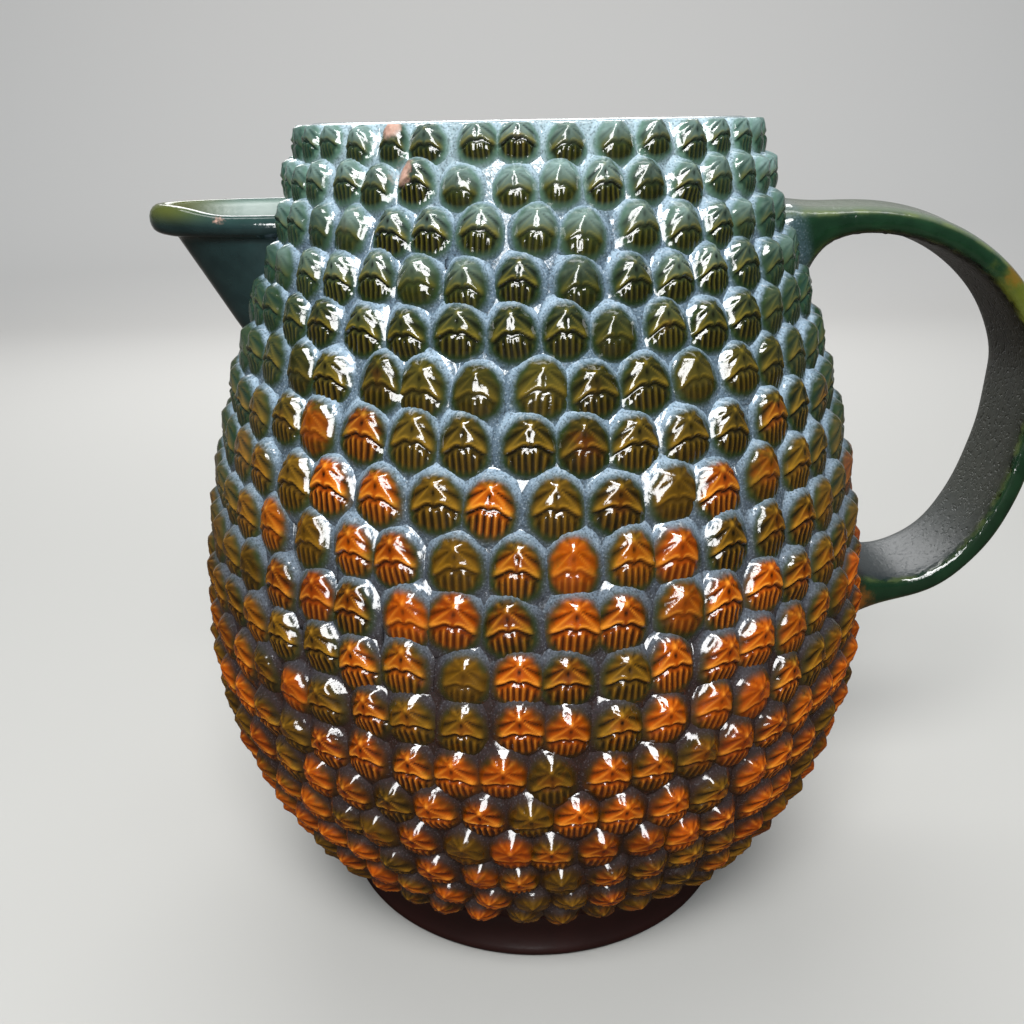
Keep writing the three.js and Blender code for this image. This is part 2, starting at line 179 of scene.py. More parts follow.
# %% [markdown]
# ## The line of the wall
# A potter throws or moulds the jar to one smooth line: steep out of the foot, upright at the
# belly, and leaning in to the rim. Two cubic curves that meet at the belly give that line with
# a few sizes. Everything that sits on the wall asks this line where the surface is.

# %% Draw the wall's line
HEIGHT = 270.0
RIM_RADIUS = 68.5
BELLY_RADIUS, BELLY_HEIGHT = 111.7, 108.0
BELLY_HOLD_BELOW, BELLY_HOLD_ABOVE = 33.0, 55.0
FOOT_TOP_RADIUS, FOOT_HEIGHT = 75.0, 20.0
FOOT_LEAN, FOOT_LEAN_RUN = math.radians(49), 30.5
RIM_LEAN, RIM_LEAN_RUN = math.radians(20.6), 55.5


def cubic(a, b, c, d, steps):
    """Points along a cubic curve with two ends and two handles."""
    t = np.linspace(0, 1, steps + 1)[:, None]
    points = np.array([a, b, c, d], float)
    weights = [(1 - t) ** 3, 3 * (1 - t) ** 2 * t, 3 * (1 - t) * t**2, t**3]
    return sum(w * p for w, p in zip(weights, points))


def wall_line():
    """Radius and height along the outside of the wall, from the rim down to the foot."""
    foot = np.array([FOOT_TOP_RADIUS, FOOT_HEIGHT])
    belly = np.array([BELLY_RADIUS, BELLY_HEIGHT])
    rim = np.array([RIM_RADIUS, HEIGHT])
    off_foot = FOOT_LEAN_RUN * np.array([math.sin(FOOT_LEAN), math.cos(FOOT_LEAN)])
    off_rim = RIM_LEAN_RUN * np.array([math.sin(RIM_LEAN), -math.cos(RIM_LEAN)])
    lower = cubic(foot, foot + off_foot, belly - [0, BELLY_HOLD_BELOW], belly, 300)
    upper = cubic(belly, belly + [0, BELLY_HOLD_ABOVE], rim + off_rim, rim, 400)
    return np.vstack([lower, upper[1:]])[::-1]


LINE = wall_line()
LINE_DOWN = np.concatenate([[0], np.cumsum(np.linalg.norm(np.diff(LINE, axis=0), axis=1))])
LINE_LENGTH = float(LINE_DOWN[-1])
LINE_SLOPE = np.gradient(LINE, LINE_DOWN, axis=0)
print("the wall's line is", round(LINE_LENGTH, 1), "mm long from rim to foot")


# %% Ask the wall's line
def lean_at(down):
    """The wall's outward normal there, as its share outwards and its share upwards."""
    slope = [np.interp(down, LINE_DOWN, LINE_SLOPE[:, k]) for k in (0, 1)]
    size = np.hypot(*slope)
    return -slope[1] / size, slope[0] / size


def on_line(down, lift=0.0):
    """Radius and height at a distance down from the rim, lifted off the wall."""
    radius, height = (np.interp(down, LINE_DOWN, LINE[:, k]) for k in (0, 1))
    out, up = lean_at(down)
    return radius + lift * out, height + lift * up


def wall_radius(height):
    """The wall's outer radius at a height, or at many."""
    return np.interp(height, LINE[::-1, 1], LINE[::-1, 0])


print("radius half way up:", round(float(wall_radius(HEIGHT / 2)), 1), "mm")

# %% [markdown]
# ## The wall
# The jar's wall is about 6 mm thick, open at the top, with a softly rounded rim. It could be
# spun from a profile with a Screw modifier. Here the profile is turned in a loop, because each
# point is also moved a little in or out: no hand-made pot is perfectly round.

# %% Turn the wall
ROUND_STEPS = 256
WALL_THICKNESS = 6.0
RIM_ROUNDING = 1.6


def turned(profile, steps=ROUND_STEPS, wobble=0.0):
    """Points and faces of a closed profile turned about the pot's axis."""
    angles = np.arange(steps) * 2 * np.pi / steps
    points = []
    for radius, height in profile:
        swell = wobble * (np.sin(3 * angles + height / 40) + 0.6 * np.sin(7 * angles - height / 23))
        r = radius + swell
        points.append(np.stack([r * np.cos(angles), r * np.sin(angles), np.full(steps, height)], 1))
    rows = len(profile)
    faces = grid_faces(rows, steps, ring=True)
    for j in range(steps):
        k = (j + 1) % steps
        faces.append(((rows - 1) * steps + j, (rows - 1) * steps + k, k, j))
    return np.vstack(points), faces


def wall_profile():
    """Up the outside, over the rim and down the inside, from the foot back to the foot."""
    outside = np.stack(on_line(np.linspace(LINE_LENGTH, RIM_ROUNDING, 100)), 1)
    inside = np.stack(on_line(np.linspace(RIM_ROUNDING + 3, LINE_LENGTH, 60), -WALL_THICKNESS), 1)
    turn = np.linspace(0, np.pi, 10)[1:-1]
    out, up = WALL_THICKNESS / 2 * np.cos(turn), RIM_ROUNDING * np.sin(turn)
    rim = np.stack([RIM_RADIUS - WALL_THICKNESS / 2 + out, HEIGHT - RIM_ROUNDING + up], 1)
    return np.vstack([outside, rim, inside])


pot_wall = new_piece("pot_wall", *turned(wall_profile(), wobble=0.12))
print("wall:", len(pot_wall.data.polygons), "faces")


# %% [markdown]
# ## The beak spout
# The spout is a folded leaf of clay: a funnel that narrows to a keel, with a thick rolled lip.
# Its plan at any height is the same beak, only shorter and narrower further down. So it is
# built from level slices, laid like the planks of a hull: up the outside, over the lip and
# down the inside.

# %% Shape one slice of the beak
SPOUT_TOP, SPOUT_REACH, SPOUT_WIDTH = 246.5, 123.5, 42.0
SPOUT_STRAIGHT = 82.0  # how far from the pot's axis its sides run level with each other
SPOUT_SINK = 3.0  # how deep its edges sit in the pot's wall


def beak_slice(height, reach, half_width, steps=40):
    """One level slice of the beak, from its one side round the tip to the other."""
    root = wall_radius(height) - SPOUT_SINK
    half_width = max(half_width, 0.3)
    side_root = math.sqrt(max(root**2 - half_width**2, 1.0))
    reach = max(reach, side_root + 0.6)
    straight = min(SPOUT_STRAIGHT, reach - 0.5 * half_width)
    straight = max(straight, side_root)
    nose = cubic(
        (-straight, half_width),
        (-(straight + reach) / 2, half_width),
        (-reach, 0.5 * half_width),
        (-reach, 0),
        steps // 2,
    )
    side = np.linspace([-side_root, half_width], [-straight, half_width], 9)[:-1]
    half = np.vstack([side, nose])
    both = np.vstack([half, half[-2::-1] * [1, -1]])
    return np.column_stack([both, np.full(len(both), height)])


print("a slice has", len(beak_slice(SPOUT_TOP, SPOUT_REACH, SPOUT_WIDTH / 2)), "points")

# %% Stack the slices: up the funnel, over the lip, down the channel
LIP_HEIGHT, LIP_OVERHANG, TIP_OVERHANG = 8.0, 2.6, 7.0
LIP_BOTTOM = SPOUT_TOP - LIP_HEIGHT
KEEL_DROP, KEEL_RUN, KEEL_WIDTH = 34.0, 20.0, 9.0
SPOUT_WALL = 5.0
CHANNEL_LIFT = 1.5  # the channel's floor stands this much above the funnel's outside
CHANNEL_CLOSES = 0.74  # at this share of the drop the channel's two sides meet
# The rolled lip: each slice's rise, and how far it is in from the lip's widest line at the tip
# and at the sides.
LIP_ROLL = (
    (-1.8, 5.2, 2.1), (-1.4, 3.4, 1.6), (-0.8, 1.9, 1.1), (0.0, 0.9, 0.6), (1.2, 0.3, 0.3),
    (2.6, 0.0, 0.0), (4.3, 0.0, 0.0), (5.8, 0.5, 0.5), (7.0, 1.4, 1.4), (7.8, 2.6, 2.6),
    (8.0, 3.9, 3.9), (7.8, 5.1, 5.1), (7.1, 6.1, 6.1), (5.6, 6.9, 6.7), (3.9, 8.6, 7.0),
)


def funnel(down):
    """Reach and half width of the funnel at a share of its drop from the lip to the keel."""
    reach = SPOUT_REACH - TIP_OVERHANG - KEEL_RUN * down
    spread = math.sqrt(max(1 - 0.9 * down**2, 0.02))
    half = (KEEL_WIDTH + (SPOUT_WIDTH - 2 * LIP_OVERHANG - KEEL_WIDTH) * spread) / 2
    return reach, half * (1 if down < 1 else max(0.0, 1 - 3 * (down - 1)))


def channel(down):
    """Height, reach and half width of the pouring channel at a share of the drop."""
    reach, half = funnel(down)
    close = 1 - (down / CHANNEL_CLOSES) ** 6
    return LIP_BOTTOM - KEEL_DROP * down + CHANNEL_LIFT, reach - SPOUT_WALL, (half - SPOUT_WALL) * close


def spout_slices():
    """Height, reach and half width of every slice, from the keel to the channel's floor."""
    outside = [(LIP_BOTTOM - KEEL_DROP * down, *funnel(down)) for down in np.linspace(1.27, 0.06, 26)]
    lip = [
        (LIP_BOTTOM + rise, SPOUT_REACH - at_tip, SPOUT_WIDTH / 2 - at_side)
        for rise, at_tip, at_side in LIP_ROLL
    ]
    return outside + lip + [channel(down) for down in np.linspace(0.0, 0.72, 16)]


print("slices:", len(spout_slices()))

# %% Build the spout
LIP_SAG = 3.0  # the hand that pressed the spout on left its near lip lower and thinner
SAG_FROM, SAG_TO = 6.0, 30.0  # it sags between these distances from the tip


def build_spout():
    rows = [beak_slice(*one) for one in spout_slices()]
    columns = len(rows[0])
    points = np.vstack(rows)
    x, y, z = points.T
    along = ramp(x, SAG_FROM - SPOUT_REACH, SAG_TO - SPOUT_REACH)
    near_and_high = np.clip((-y - 2) / 12, 0, 1) * np.clip((z - LIP_BOTTOM + 1) / 7, 0, 1)
    points[:, 2] -= LIP_SAG * along * near_and_high
    faces = grid_faces(len(rows), columns)
    # The keel, the channel's floor and the two edges that sit in the wall are closed.
    side = [i * columns for i in range(len(rows))]
    faces.append(tuple(side))
    faces.append(tuple(reversed([i + columns - 1 for i in side])))
    faces.append(tuple(reversed(range(columns))))
    faces.append(tuple(range((len(rows) - 1) * columns, len(rows) * columns)))
    spout = new_piece("beak_spout", points, faces)
    highest = max(range(len(rows)), key=lambda i: rows[i][0][2])
    store(spout, "channel", np.repeat(np.arange(len(rows)) > highest + 1, columns))
    return spout


beak_spout = build_spout()
print("spout:", len(beak_spout.data.polygons), "faces")

# %% Cut the pour hole through the wall
POUR_HOLE_DROP = 4.0
HOLE_OUTSIDE, HOLE_INSIDE = 3.0, 18.0  # how far the cutter reaches out of the wall and into it


def pour_hole():
    """A block with the channel's cross-section that reaches through the wall behind the spout."""
    levels = [(channel(down)[0], channel(down)[2]) for down in np.linspace(0.70, 0.0, 12)]
    levels.append((SPOUT_TOP - POUR_HOLE_DROP, channel(0.0)[2]))
    points = []
    for height, half in levels:
        outer, inner = wall_radius(height) + HOLE_OUTSIDE, wall_radius(height) - HOLE_INSIDE
        corners = ((outer, half), (outer, -half), (inner, -half), (inner, half))
        points += [(-x, y, height) for x, y in corners]
    faces = grid_faces(len(levels), 4, ring=True)
    faces += [(3, 2, 1, 0), tuple(range(len(points) - 4, len(points)))]
    return new_piece("pour_hole", points, faces)


def take_mesh(piece):
    """The piece's mesh as its modifiers leave it, which then takes the modifiers' place."""
    depsgraph = bpy.context.evaluated_depsgraph_get()
    mesh = bpy.data.meshes.new_from_object(piece.evaluated_get(depsgraph), depsgraph=depsgraph)
    piece.modifiers.clear()
    piece.data = mesh


cutter = pour_hole()
hole = pot_wall.modifiers.new("pour_hole", "BOOLEAN")
hole.object = cutter
hole.solver = "EXACT"
take_mesh(pot_wall)
bpy.data.objects.remove(cutter)
sharpen(pot_wall)
print("wall after the cut:", len(pot_wall.data.polygons), "faces")


# %% [markdown]
# ## The strap handle
# The handle is a pulled strap of clay. It leaves the neck almost level, turns down and comes
# back to the belly, and the potter's thumb has spread both of its ends on the wall. A section
# is swept along the curve in a loop, because it changes on the way: it flares into the wall at
# both ends, and two finger grooves run along its back.

# %% Draw the handle's curve
HANDLE_REACH = 169.0
HANDLE_TOP, HANDLE_MIDDLE, HANDLE_FOOT = 230.8, 184.7, 118.0
HANDLE_SHOULDER, HANDLE_ELBOW = 28.0, 39.0
UPPER_RISE, LOWER_DIP = 25.0, 25.0
UPPER_TURN, LOWER_TURN = 0.404, 0.221
HANDLE_INSIDE = 12.0  # the curve starts this far inside the wall's outer face
HANDLE_SINK = 4.0  # and the strap this far


def handle_line():
    """Points along the strap's middle, in even steps, and how far along it each is."""
    start = np.array([wall_radius(HANDLE_TOP) - HANDLE_INSIDE, HANDLE_TOP])
    middle = np.array([HANDLE_REACH, HANDLE_MIDDLE])
    end = np.array([wall_radius(HANDLE_FOOT) - HANDLE_INSIDE, HANDLE_FOOT])
    upper_turn = (HANDLE_REACH + (start[0] - HANDLE_REACH) * UPPER_TURN, HANDLE_TOP + UPPER_RISE)
    lower_turn = (HANDLE_REACH + (end[0] - HANDLE_REACH) * LOWER_TURN, HANDLE_FOOT - LOWER_DIP)
    upper = cubic(start, upper_turn, middle + [0, HANDLE_SHOULDER], middle, 300)
    lower = cubic(middle, middle - [0, HANDLE_ELBOW], lower_turn, end, 300)
    dense = np.vstack([upper, lower[1:]])
    clear = [i for i, (x, z) in enumerate(dense) if x > wall_radius(z) - HANDLE_SINK]
    dense = dense[clear[0] : clear[-1] + 1]
    run = np.concatenate([[0], np.cumsum(np.linalg.norm(np.diff(dense, axis=0), axis=1))])
    even = np.linspace(0, run[-1], 150)
    return np.stack([np.interp(even, run, dense[:, k]) for k in (0, 1)], 1), even


print("the strap is", round(handle_line()[1][-1]), "mm long")

# %% Sweep the strap
STRAP_WIDTH, STRAP_CROWN = 37.0, 1.7
UPPER_EDGE, LOWER_EDGE = 7.4, 9.0
ROOT_SPREAD = 3.5  # how much wider each root is than the strap, on both sides
UPPER_FLARE_RUN, LOWER_FLARE_RUN, FLARE_POWER = 8.5, 9.0, 1.35
UPPER_FLARE, LOWER_FLARE = (11.5, 5.0), (3.0, 10.5)  # extra thickness inside and outside the loop
GROOVE_DEPTH, GROOVE_AT, GROOVE_WIDTH = 0.7, 0.45, 0.17
SWAY = 0.25


def strap_section(steps=72):
    """Across the strap and out of its loop: -1 to 1 each, as a soft-cornered bar."""
    turn = np.arange(steps) * 2 * np.pi / steps
    across = np.sign(np.cos(turn)) * np.abs(np.cos(turn)) ** 0.34
    out = np.sign(np.sin(turn)) * np.abs(np.sin(turn)) ** 0.62
    return across, out


def flare(distance, run):
    """How far the strap has spread into its root, from 1 at the wall to 0 a little way off."""
    return math.exp(-((max(distance - HANDLE_SINK, 0) / run) ** FLARE_POWER))


def build_handle():
    line, run = handle_line()
    length = run[-1]
    slope = np.gradient(line, run, axis=0)
    slope /= np.linalg.norm(slope, axis=1)[:, None]
    across, out = strap_section()
    rng = np.random.default_rng(7)
    sway = rng.normal(0, 1, 8)
    points, marks = [], {"arris": [], "outer": [], "near_wall": []}
    for (x, z), (tx, tz), at in zip(line, slope, run):
        upper, lower = flare(at, UPPER_FLARE_RUN), flare(length - at, LOWER_FLARE_RUN)
        half = STRAP_WIDTH / 2 + ROOT_SPREAD * (upper + lower)
        edge = UPPER_EDGE + (LOWER_EDGE - UPPER_EDGE) * at / length
        inner, back = (edge / 2 + u * upper + w * lower for u, w in zip(UPPER_FLARE, LOWER_FLARE))
        wave = SWAY * sum(s * math.sin((k + 1) * at / 31 + k) for k, s in enumerate(sway)) / 2
        crown = STRAP_CROWN * (1 - across**2)
        groove = GROOVE_DEPTH * bell(np.abs(across) - GROOVE_AT, GROOVE_WIDTH)
        lift = np.where(out > 0, out * back + np.clip(out, 0, 1) * (crown - groove), out * inner)
        # The near inner edge was left rough when the strap was trimmed.
        uneven = rng.uniform(-0.5, 0.35, len(out))
        rough = (across < -0.85) * bell(out + 0.8, 0.35) * uneven * (1 - upper - lower)
        # The way out of the loop lies to the left of the way along the line.
        across_y, far = across * (half + wave) - rough, lift + rough
        points.append(np.stack([x - far * tz, across_y, z + far * tx], 1))
        marks["arris"].append(ramp(np.abs(across), 0.80, 0.93) * bell(np.abs(out) - 0.82, 0.17))
        marks["outer"].append(out)
        marks["near_wall"].append(np.full(len(out), max(upper, lower)))
    rows, columns = len(points), len(across)
    faces = grid_faces(rows, columns, ring=True, flip=True)
    faces.append(tuple(range(columns)))
    faces.append(tuple(reversed(range((rows - 1) * columns, rows * columns))))
    handle = new_piece("strap_handle", np.vstack(points), faces)
    for name, values in marks.items():
        store(handle, name, np.concatenate(values))
    return handle


strap_handle = build_handle()
print("handle:", len(strap_handle.data.polygons), "faces")


# %% [markdown]
# ## The foot and the base
# The foot is a plain ring with a soft edge where it meets the table. The base inside it is a
# flat disc of bare clay, because glaze there would stick the pot to the kiln's shelf.

# %% Turn the foot ring
FOOT_RADIUS, FOOT_WAIST_DEPTH, FOOT_EDGE, FOOT_WALL = 73.5, 2.0, 3.0, 7.5
FOOT_OVERLAP = 0.6  # the ring reaches this far up round the wall
FOOT_BORE = FOOT_RADIUS - FOOT_WALL


def foot_profile():
    turn = np.linspace(-np.pi / 2, 0, 9)
    corner = [FOOT_RADIUS - FOOT_EDGE, FOOT_EDGE] + FOOT_EDGE * np.stack([np.cos(turn), np.sin(turn)], 1)
    t = np.linspace(0, 1, 15)[1:, None]
    waist = np.array([FOOT_RADIUS - 2 * FOOT_WAIST_DEPTH, (FOOT_EDGE + FOOT_HEIGHT) / 2])
    top = np.array([FOOT_TOP_RADIUS, FOOT_HEIGHT + FOOT_OVERLAP])
    side = (1 - t) ** 2 * corner[-1] + 2 * (1 - t) * t * waist + t**2 * top
    return np.vstack([[FOOT_BORE, 0], corner, side, [FOOT_BORE, FOOT_HEIGHT + FOOT_OVERLAP]])


foot_ring = new_piece("foot_band", *turned(foot_profile(), steps=192, wobble=0.05))
sharpen(foot_ring)
print("foot:", len(foot_ring.data.polygons), "faces")

# %% Cut the base
SLAB_THICKNESS, DISC_OVERLAP = 9.0, 0.5  # the disc reaches a hair out into the ring


def disc(name, radius, thickness, steps=96):
    turn = np.arange(steps) * 2 * np.pi / steps
    ring = radius * np.stack([np.cos(turn), np.sin(turn)], 1)
    points = np.vstack([np.column_stack([ring, np.full(steps, z)]) for z in (0, thickness)])
    faces = grid_faces(2, steps, ring=True)
    faces += [tuple(reversed(range(steps))), tuple(range(steps, 2 * steps))]
    return new_piece(name, points, faces)


base_disc = disc("base_disc", FOOT_BORE + DISC_OVERLAP, SLAB_THICKNESS)
sharpen(base_disc)
print("base:", len(base_disc.data.polygons), "faces")

# %% [markdown]
# ## One pressed scale
# Each scale came out of the same little mould: a cushion with a peak near its top. Ridges and
# furrows run out from the peak like a star, with a small pit below it. Two broad arms sweep
# down to the sides, and under a deep groove hangs a beard of upright flutes. The shape is a
# height over a flat grid, so it is written as a sum of hills, ridges and grooves. Eight copies
# differ a little, as presses with more or less force do. A shape that repeats this often would
# normally have a few dozen faces. This one has about 1,100, because its star, arms and flutes
# are what the eye sees first, and a bump map doesn't give their shadows and highlights.

# %% Outline and star of a scale
SUMMIT = 0.56
# Round the peak, in degrees from straight down over sideways to straight up: where ridges (1)
# and furrows (-1) run out from it like a star.
STAR_TURN = [0, 38, 48, 62, 76, 88, 100, 116, 136, 150, 180]
STAR_LIFT = [0, 0.2, 1.0, -1.0, 0.7, -0.4, 0.1, 0.9, -1.0, 0.3, 0.5]
# The figure stands between two lower flanks: half its width from the scale's foot to its top.
FIGURE_AT = [-1.0, -0.4, 0.1, 0.6, 0.85, 1.0]
FIGURE_HALF_WIDTH = [0.60, 0.76, 0.80, 0.40, 0.34, 0.20]
FLUTE_PITCH = 0.25
STAR_RELIEF, BRIM_RELIEF, FLUTE_RELIEF, BULGE_RELIEF = 0.06, 0.05, 0.07, 0.05
PIT_DEPTH, SPLIT_DEPTH, BEARD_DEPTH, FLANK_DEPTH = 0.06, 0.17, 0.06, 0.12


def outline_share(x, y):
    """0 in the scale's middle and 1 on its outline: a cushion, narrower at both ends."""
    width = 1 - 0.20 * ramp(-y, 0.55, 1.0) - 0.16 * ramp(y, 0.1, 0.8)
    return (np.abs(x / width) ** 2.7 + np.abs(y) ** 2.7) ** (1 / 2.7)


print("outline share at a scale's corner:", round(float(outline_share(0.8, 0.8)), 2))


# %% Relief of a scale
def scale_relief(x, y, crisp, summit_x, summit_y, rng):
    """The height of a pressed scale, from 0 to about 1, and what the glaze does on it."""
    share = outline_share(x, y)
    lean = summit_x * np.clip((y + 1) / (summit_y + 1), 0, 1.3)
    side = np.abs(x - lean)
    inside = 1 - ramp(share, 0.72, 0.98)
    drop = summit_y - y

    # The body: a full cushion that rises to a blunt peak near its top.
    dome = 0.06 + 0.50 * np.clip(1 - share**3, 0, 1) ** 0.72
    reach = np.hypot(side / 0.95, np.where(drop < 0, drop / 0.55, drop / 1.35))
    peak = 0.44 * np.clip(1 - reach, 0, 1) ** 1.15

    # The star: ridges and furrows that run out from the peak.
    turn = np.degrees(np.arctan2(side, drop + 1e-9))
    away = np.hypot(side, drop)
    star = np.interp(turn, STAR_TURN, STAR_LIFT) * ramp(away, 0.03, 0.28) * inside

    # Under the peak: a pit, then the brim of the two arms with a nose in its middle.
    pit = bell(np.hypot(side / 0.065, (drop - 0.27) / 0.10), 1.0)
    brim_y = summit_y - 0.50 - 0.42 * side - 0.13 * bell(side, 0.12) + 0.03 * bell(side - 0.33, 0.15)
    below = ramp(brim_y - y, -0.02, 0.05)
    split = bell(y - (brim_y - 0.05), 0.055) * inside
    brim = bell(y - (brim_y + 0.07), 0.06) * ramp(side, 0.0, 0.1) * inside
    star = star * (1 - below)

    # The beard: upright flutes under a groove, which waver a little.
    beard_y = brim_y - 0.13
    in_beard = ramp(beard_y - y, -0.05, 0.10) * (1 - ramp(share, 0.80, 0.98))
    draws = rng.uniform((0.3, 1, 0), (0.7, 4, 6.28), (3, 3))
    waver = sum(size * np.sin(pace * x + 1.6 * y + phase) for size, pace, phase in draws)
    flute = 0.5 + 0.5 * np.cos(2 * np.pi * (x - lean) / FLUTE_PITCH + waver)
    bulge = bell(y - beard_y + 0.10, 0.13) * in_beard

    # All of it together, with the two lower flanks and the soft unevenness of pressed clay.
    wide = np.interp(y, FIGURE_AT, FIGURE_HALF_WIDTH)
    figure = 1 - ramp(side, wide - 0.08, wide + 0.18)
    draws = rng.uniform((-9, -9, 0), (9, 9, 6.28), (5, 3))
    uneven = sum(0.014 * np.sin(a * x + b * y + c) for a, b, c in draws)
    detail = STAR_RELIEF * star + BRIM_RELIEF * brim + FLUTE_RELIEF * in_beard * (flute - 0.6)
    detail += BULGE_RELIEF * bulge - PIT_DEPTH * pit - SPLIT_DEPTH * split - BEARD_DEPTH * below * inside
    height = dome + peak + crisp * detail + uneven * inside
    height -= FLANK_DEPTH * (1 - figure) * (1 - ramp(share, 0.8, 1.0))

    # Outside its outline the glaze makes a fillet, then the stamp dips under the wall.
    fillet = 0.10 * (1 - ramp(share, 0.96, 1.20)) - 0.16 * ramp(share, 1.12, 1.34)
    edge = ramp(share, 0.93, 1.03)
    height = height * (1 - edge) + fillet * edge
    bend = 0.055 * x**2 + 0.04 * y**2

    # Where glaze stands deep and goes dark, and where it is thin on a crest and goes light.
    deep = np.clip(-star, 0, 1) ** 0.8 + 1.2 * pit + 1.1 * split + 0.95 * in_beard * (1 - flute) ** 1.3
    deep = np.clip(deep, 0, 1)
    crest = 0.8 * np.clip(star, 0, 1) + 0.9 * brim + 0.9 * in_beard * flute**1.6 + bell(away, 0.10)
    crest = np.clip(crest, 0, 1) ** 2 * inside * (1 - deep)
    marks = {"deep": deep * crisp, "crest": crest * crisp, "edge": share, "figure": figure, "up": y}
    return height - bend, marks


# %% Press the eight stamps
BORDER_COLUMNS = np.array([0.83, 0.92, 1.01, 1.12, 1.30])
STAMP_COLUMNS = np.concatenate([-BORDER_COLUMNS[::-1], np.arange(-12, 13) * FLUTE_PITCH / 4, BORDER_COLUMNS])
STAMP_ROWS = np.concatenate([
    [-1.32, -1.16, -1.05, -0.96, -0.86, -0.74, -0.60, -0.46, -0.34],
    np.linspace(-0.26, 0.70, 17),
    [0.77, 0.85, 0.93, 1.01, 1.10, 1.20, 1.32],
])
# How crisp each press is, and where its peak stands.
STAMP_SORTS = [
    (1.0, 0.0, SUMMIT), (1.0, 0.04, SUMMIT + 0.04), (0.9, -0.05, SUMMIT),
    (0.8, 0.03, SUMMIT - 0.06), (1.1, -0.03, SUMMIT + 0.05), (0.65, 0.06, SUMMIT - 0.03),
    (0.95, 0.02, SUMMIT), (0.45, -0.04, SUMMIT - 0.08),
]


def build_stamp(number, crisp, summit_x, summit_y):
    """One stamp: a relief on a grid, finer where its detail is, closed with one face behind."""
    x, y = np.meshgrid(STAMP_COLUMNS, STAMP_ROWS)
    rng = np.random.default_rng(40 + number)
    height, marks = scale_relief(x, y, crisp, summit_x, summit_y, rng)
    points = np.stack([x.ravel(), y.ravel(), height.ravel()], 1)
    n, m = x.shape
    border = list(range(m)) + [i * m + m - 1 for i in range(1, n)]
    border += [n * m - 1 - j for j in range(1, m)] + [i * m for i in range(n - 2, 0, -1)]
    faces = grid_faces(n, m) + [tuple(reversed(border))]
    stamp = new_piece(f"scale_stamp_{number}", points / MM, faces)
    for name, values in marks.items():
        store(stamp, name, values.ravel())
    return stamp


stamps = bpy.data.collections.new("scale_stamps")
for number, sort in enumerate(STAMP_SORTS):
    stamp = build_stamp(number, *sort)
    bpy.context.scene.collection.objects.unlink(stamp)
    stamps.objects.link(stamp)


# %% [markdown]
# ## The rows of scales
# Eighteen rows cover the wall, with room for 37 to 51 scales each, about 770 in all. Placing
# them by hand or in a loop would do, but Geometry Nodes show the rule best: a row is a ring of
# points at one height, each point carries one of the eight stamps, and a fixed seed shifts,
# turns and sizes each scale a little, as fingers do. Points where the spout or the handle
# stands carry none.

# %% Sizes that change from row to row
COURSES, WIDEST_COURSE = 18, 7
TOP_SPACING, BELLY_SPACING, FOOT_SPACING = 10.6, 15.4, 13.8
TOP_WIDTH, FOOT_WIDTH = 12.0, 12.1
BARE_BAND, RIM_MARGIN = 13.0, 0.8
UPPER_RELIEF, LOWER_RELIEF = 4.9, 5.5
UPPER_WIDTH_SHARE, LOWER_WIDTH_SHARE = 0.97, 1.07
HEIGHT_SHARE = 1.22
RIM_TRIM = 0.6  # the rim was trimmed after the top row was on, this far below the wall's top


def size_at(course, top, foot):
    """A size that changes evenly from the rim to the belly and from there to the foot."""
    if course < WIDEST_COURSE:
        return top + (BELLY_SPACING - top) * course / WIDEST_COURSE
    share = (course - WIDEST_COURSE) / (COURSES - 1 - WIDEST_COURSE)
    return BELLY_SPACING + (foot - BELLY_SPACING) * share


print("spacing:", [round(size_at(i, TOP_SPACING, FOOT_SPACING), 1) for i in range(COURSES)])

# %% What stands in a row's way
# The handle's two roots: the height of each, and how far it spreads up and down from there.
HANDLE_ROOTS = ((236.5, 10.5, 15.5), (112.5, 7.5, 15.5))
SPOUT_ENDS = 1.15  # the share of its drop at which the spout's keel is gone
KEEP_CLEAR = 0.35  # how much of a scale's half width stays free beside the spout and the handle


def half_width_in_the_way(side, height):
    """Half the width of what stands on the wall at a height: the spout at -1, the handle at 1."""
    if side < 0:
        down = (LIP_BOTTOM - height) / KEEL_DROP
        if down < -LIP_HEIGHT / KEEL_DROP or down > SPOUT_ENDS:
            return 0.0
        return SPOUT_WIDTH / 2 if down < 0 else funnel(down)[1]
    for middle, above, below in HANDLE_ROOTS:
        rise = height - middle
        share = rise / above if rise > 0 else -rise / below
        if share < 1:
            return (STRAP_WIDTH / 2 + ROOT_SPREAD) * math.sqrt(1 - share**2)
    return 0.0


def limit_at(side, radius, height, half_height, half_width):
    """The cosine past which no scale is laid, or 2 where nothing stands in the way."""
    heights = np.linspace(height - 0.55 * half_height, height + 0.55 * half_height, 9)
    widest = max(half_width_in_the_way(side, h) for h in heights)
    if widest == 0:
        return 2.0
    return math.cos(math.asin(min(1.0, (widest + KEEP_CLEAR * half_width) / radius)))


print("spout's half width at its lip:", half_width_in_the_way(-1, SPOUT_TOP))


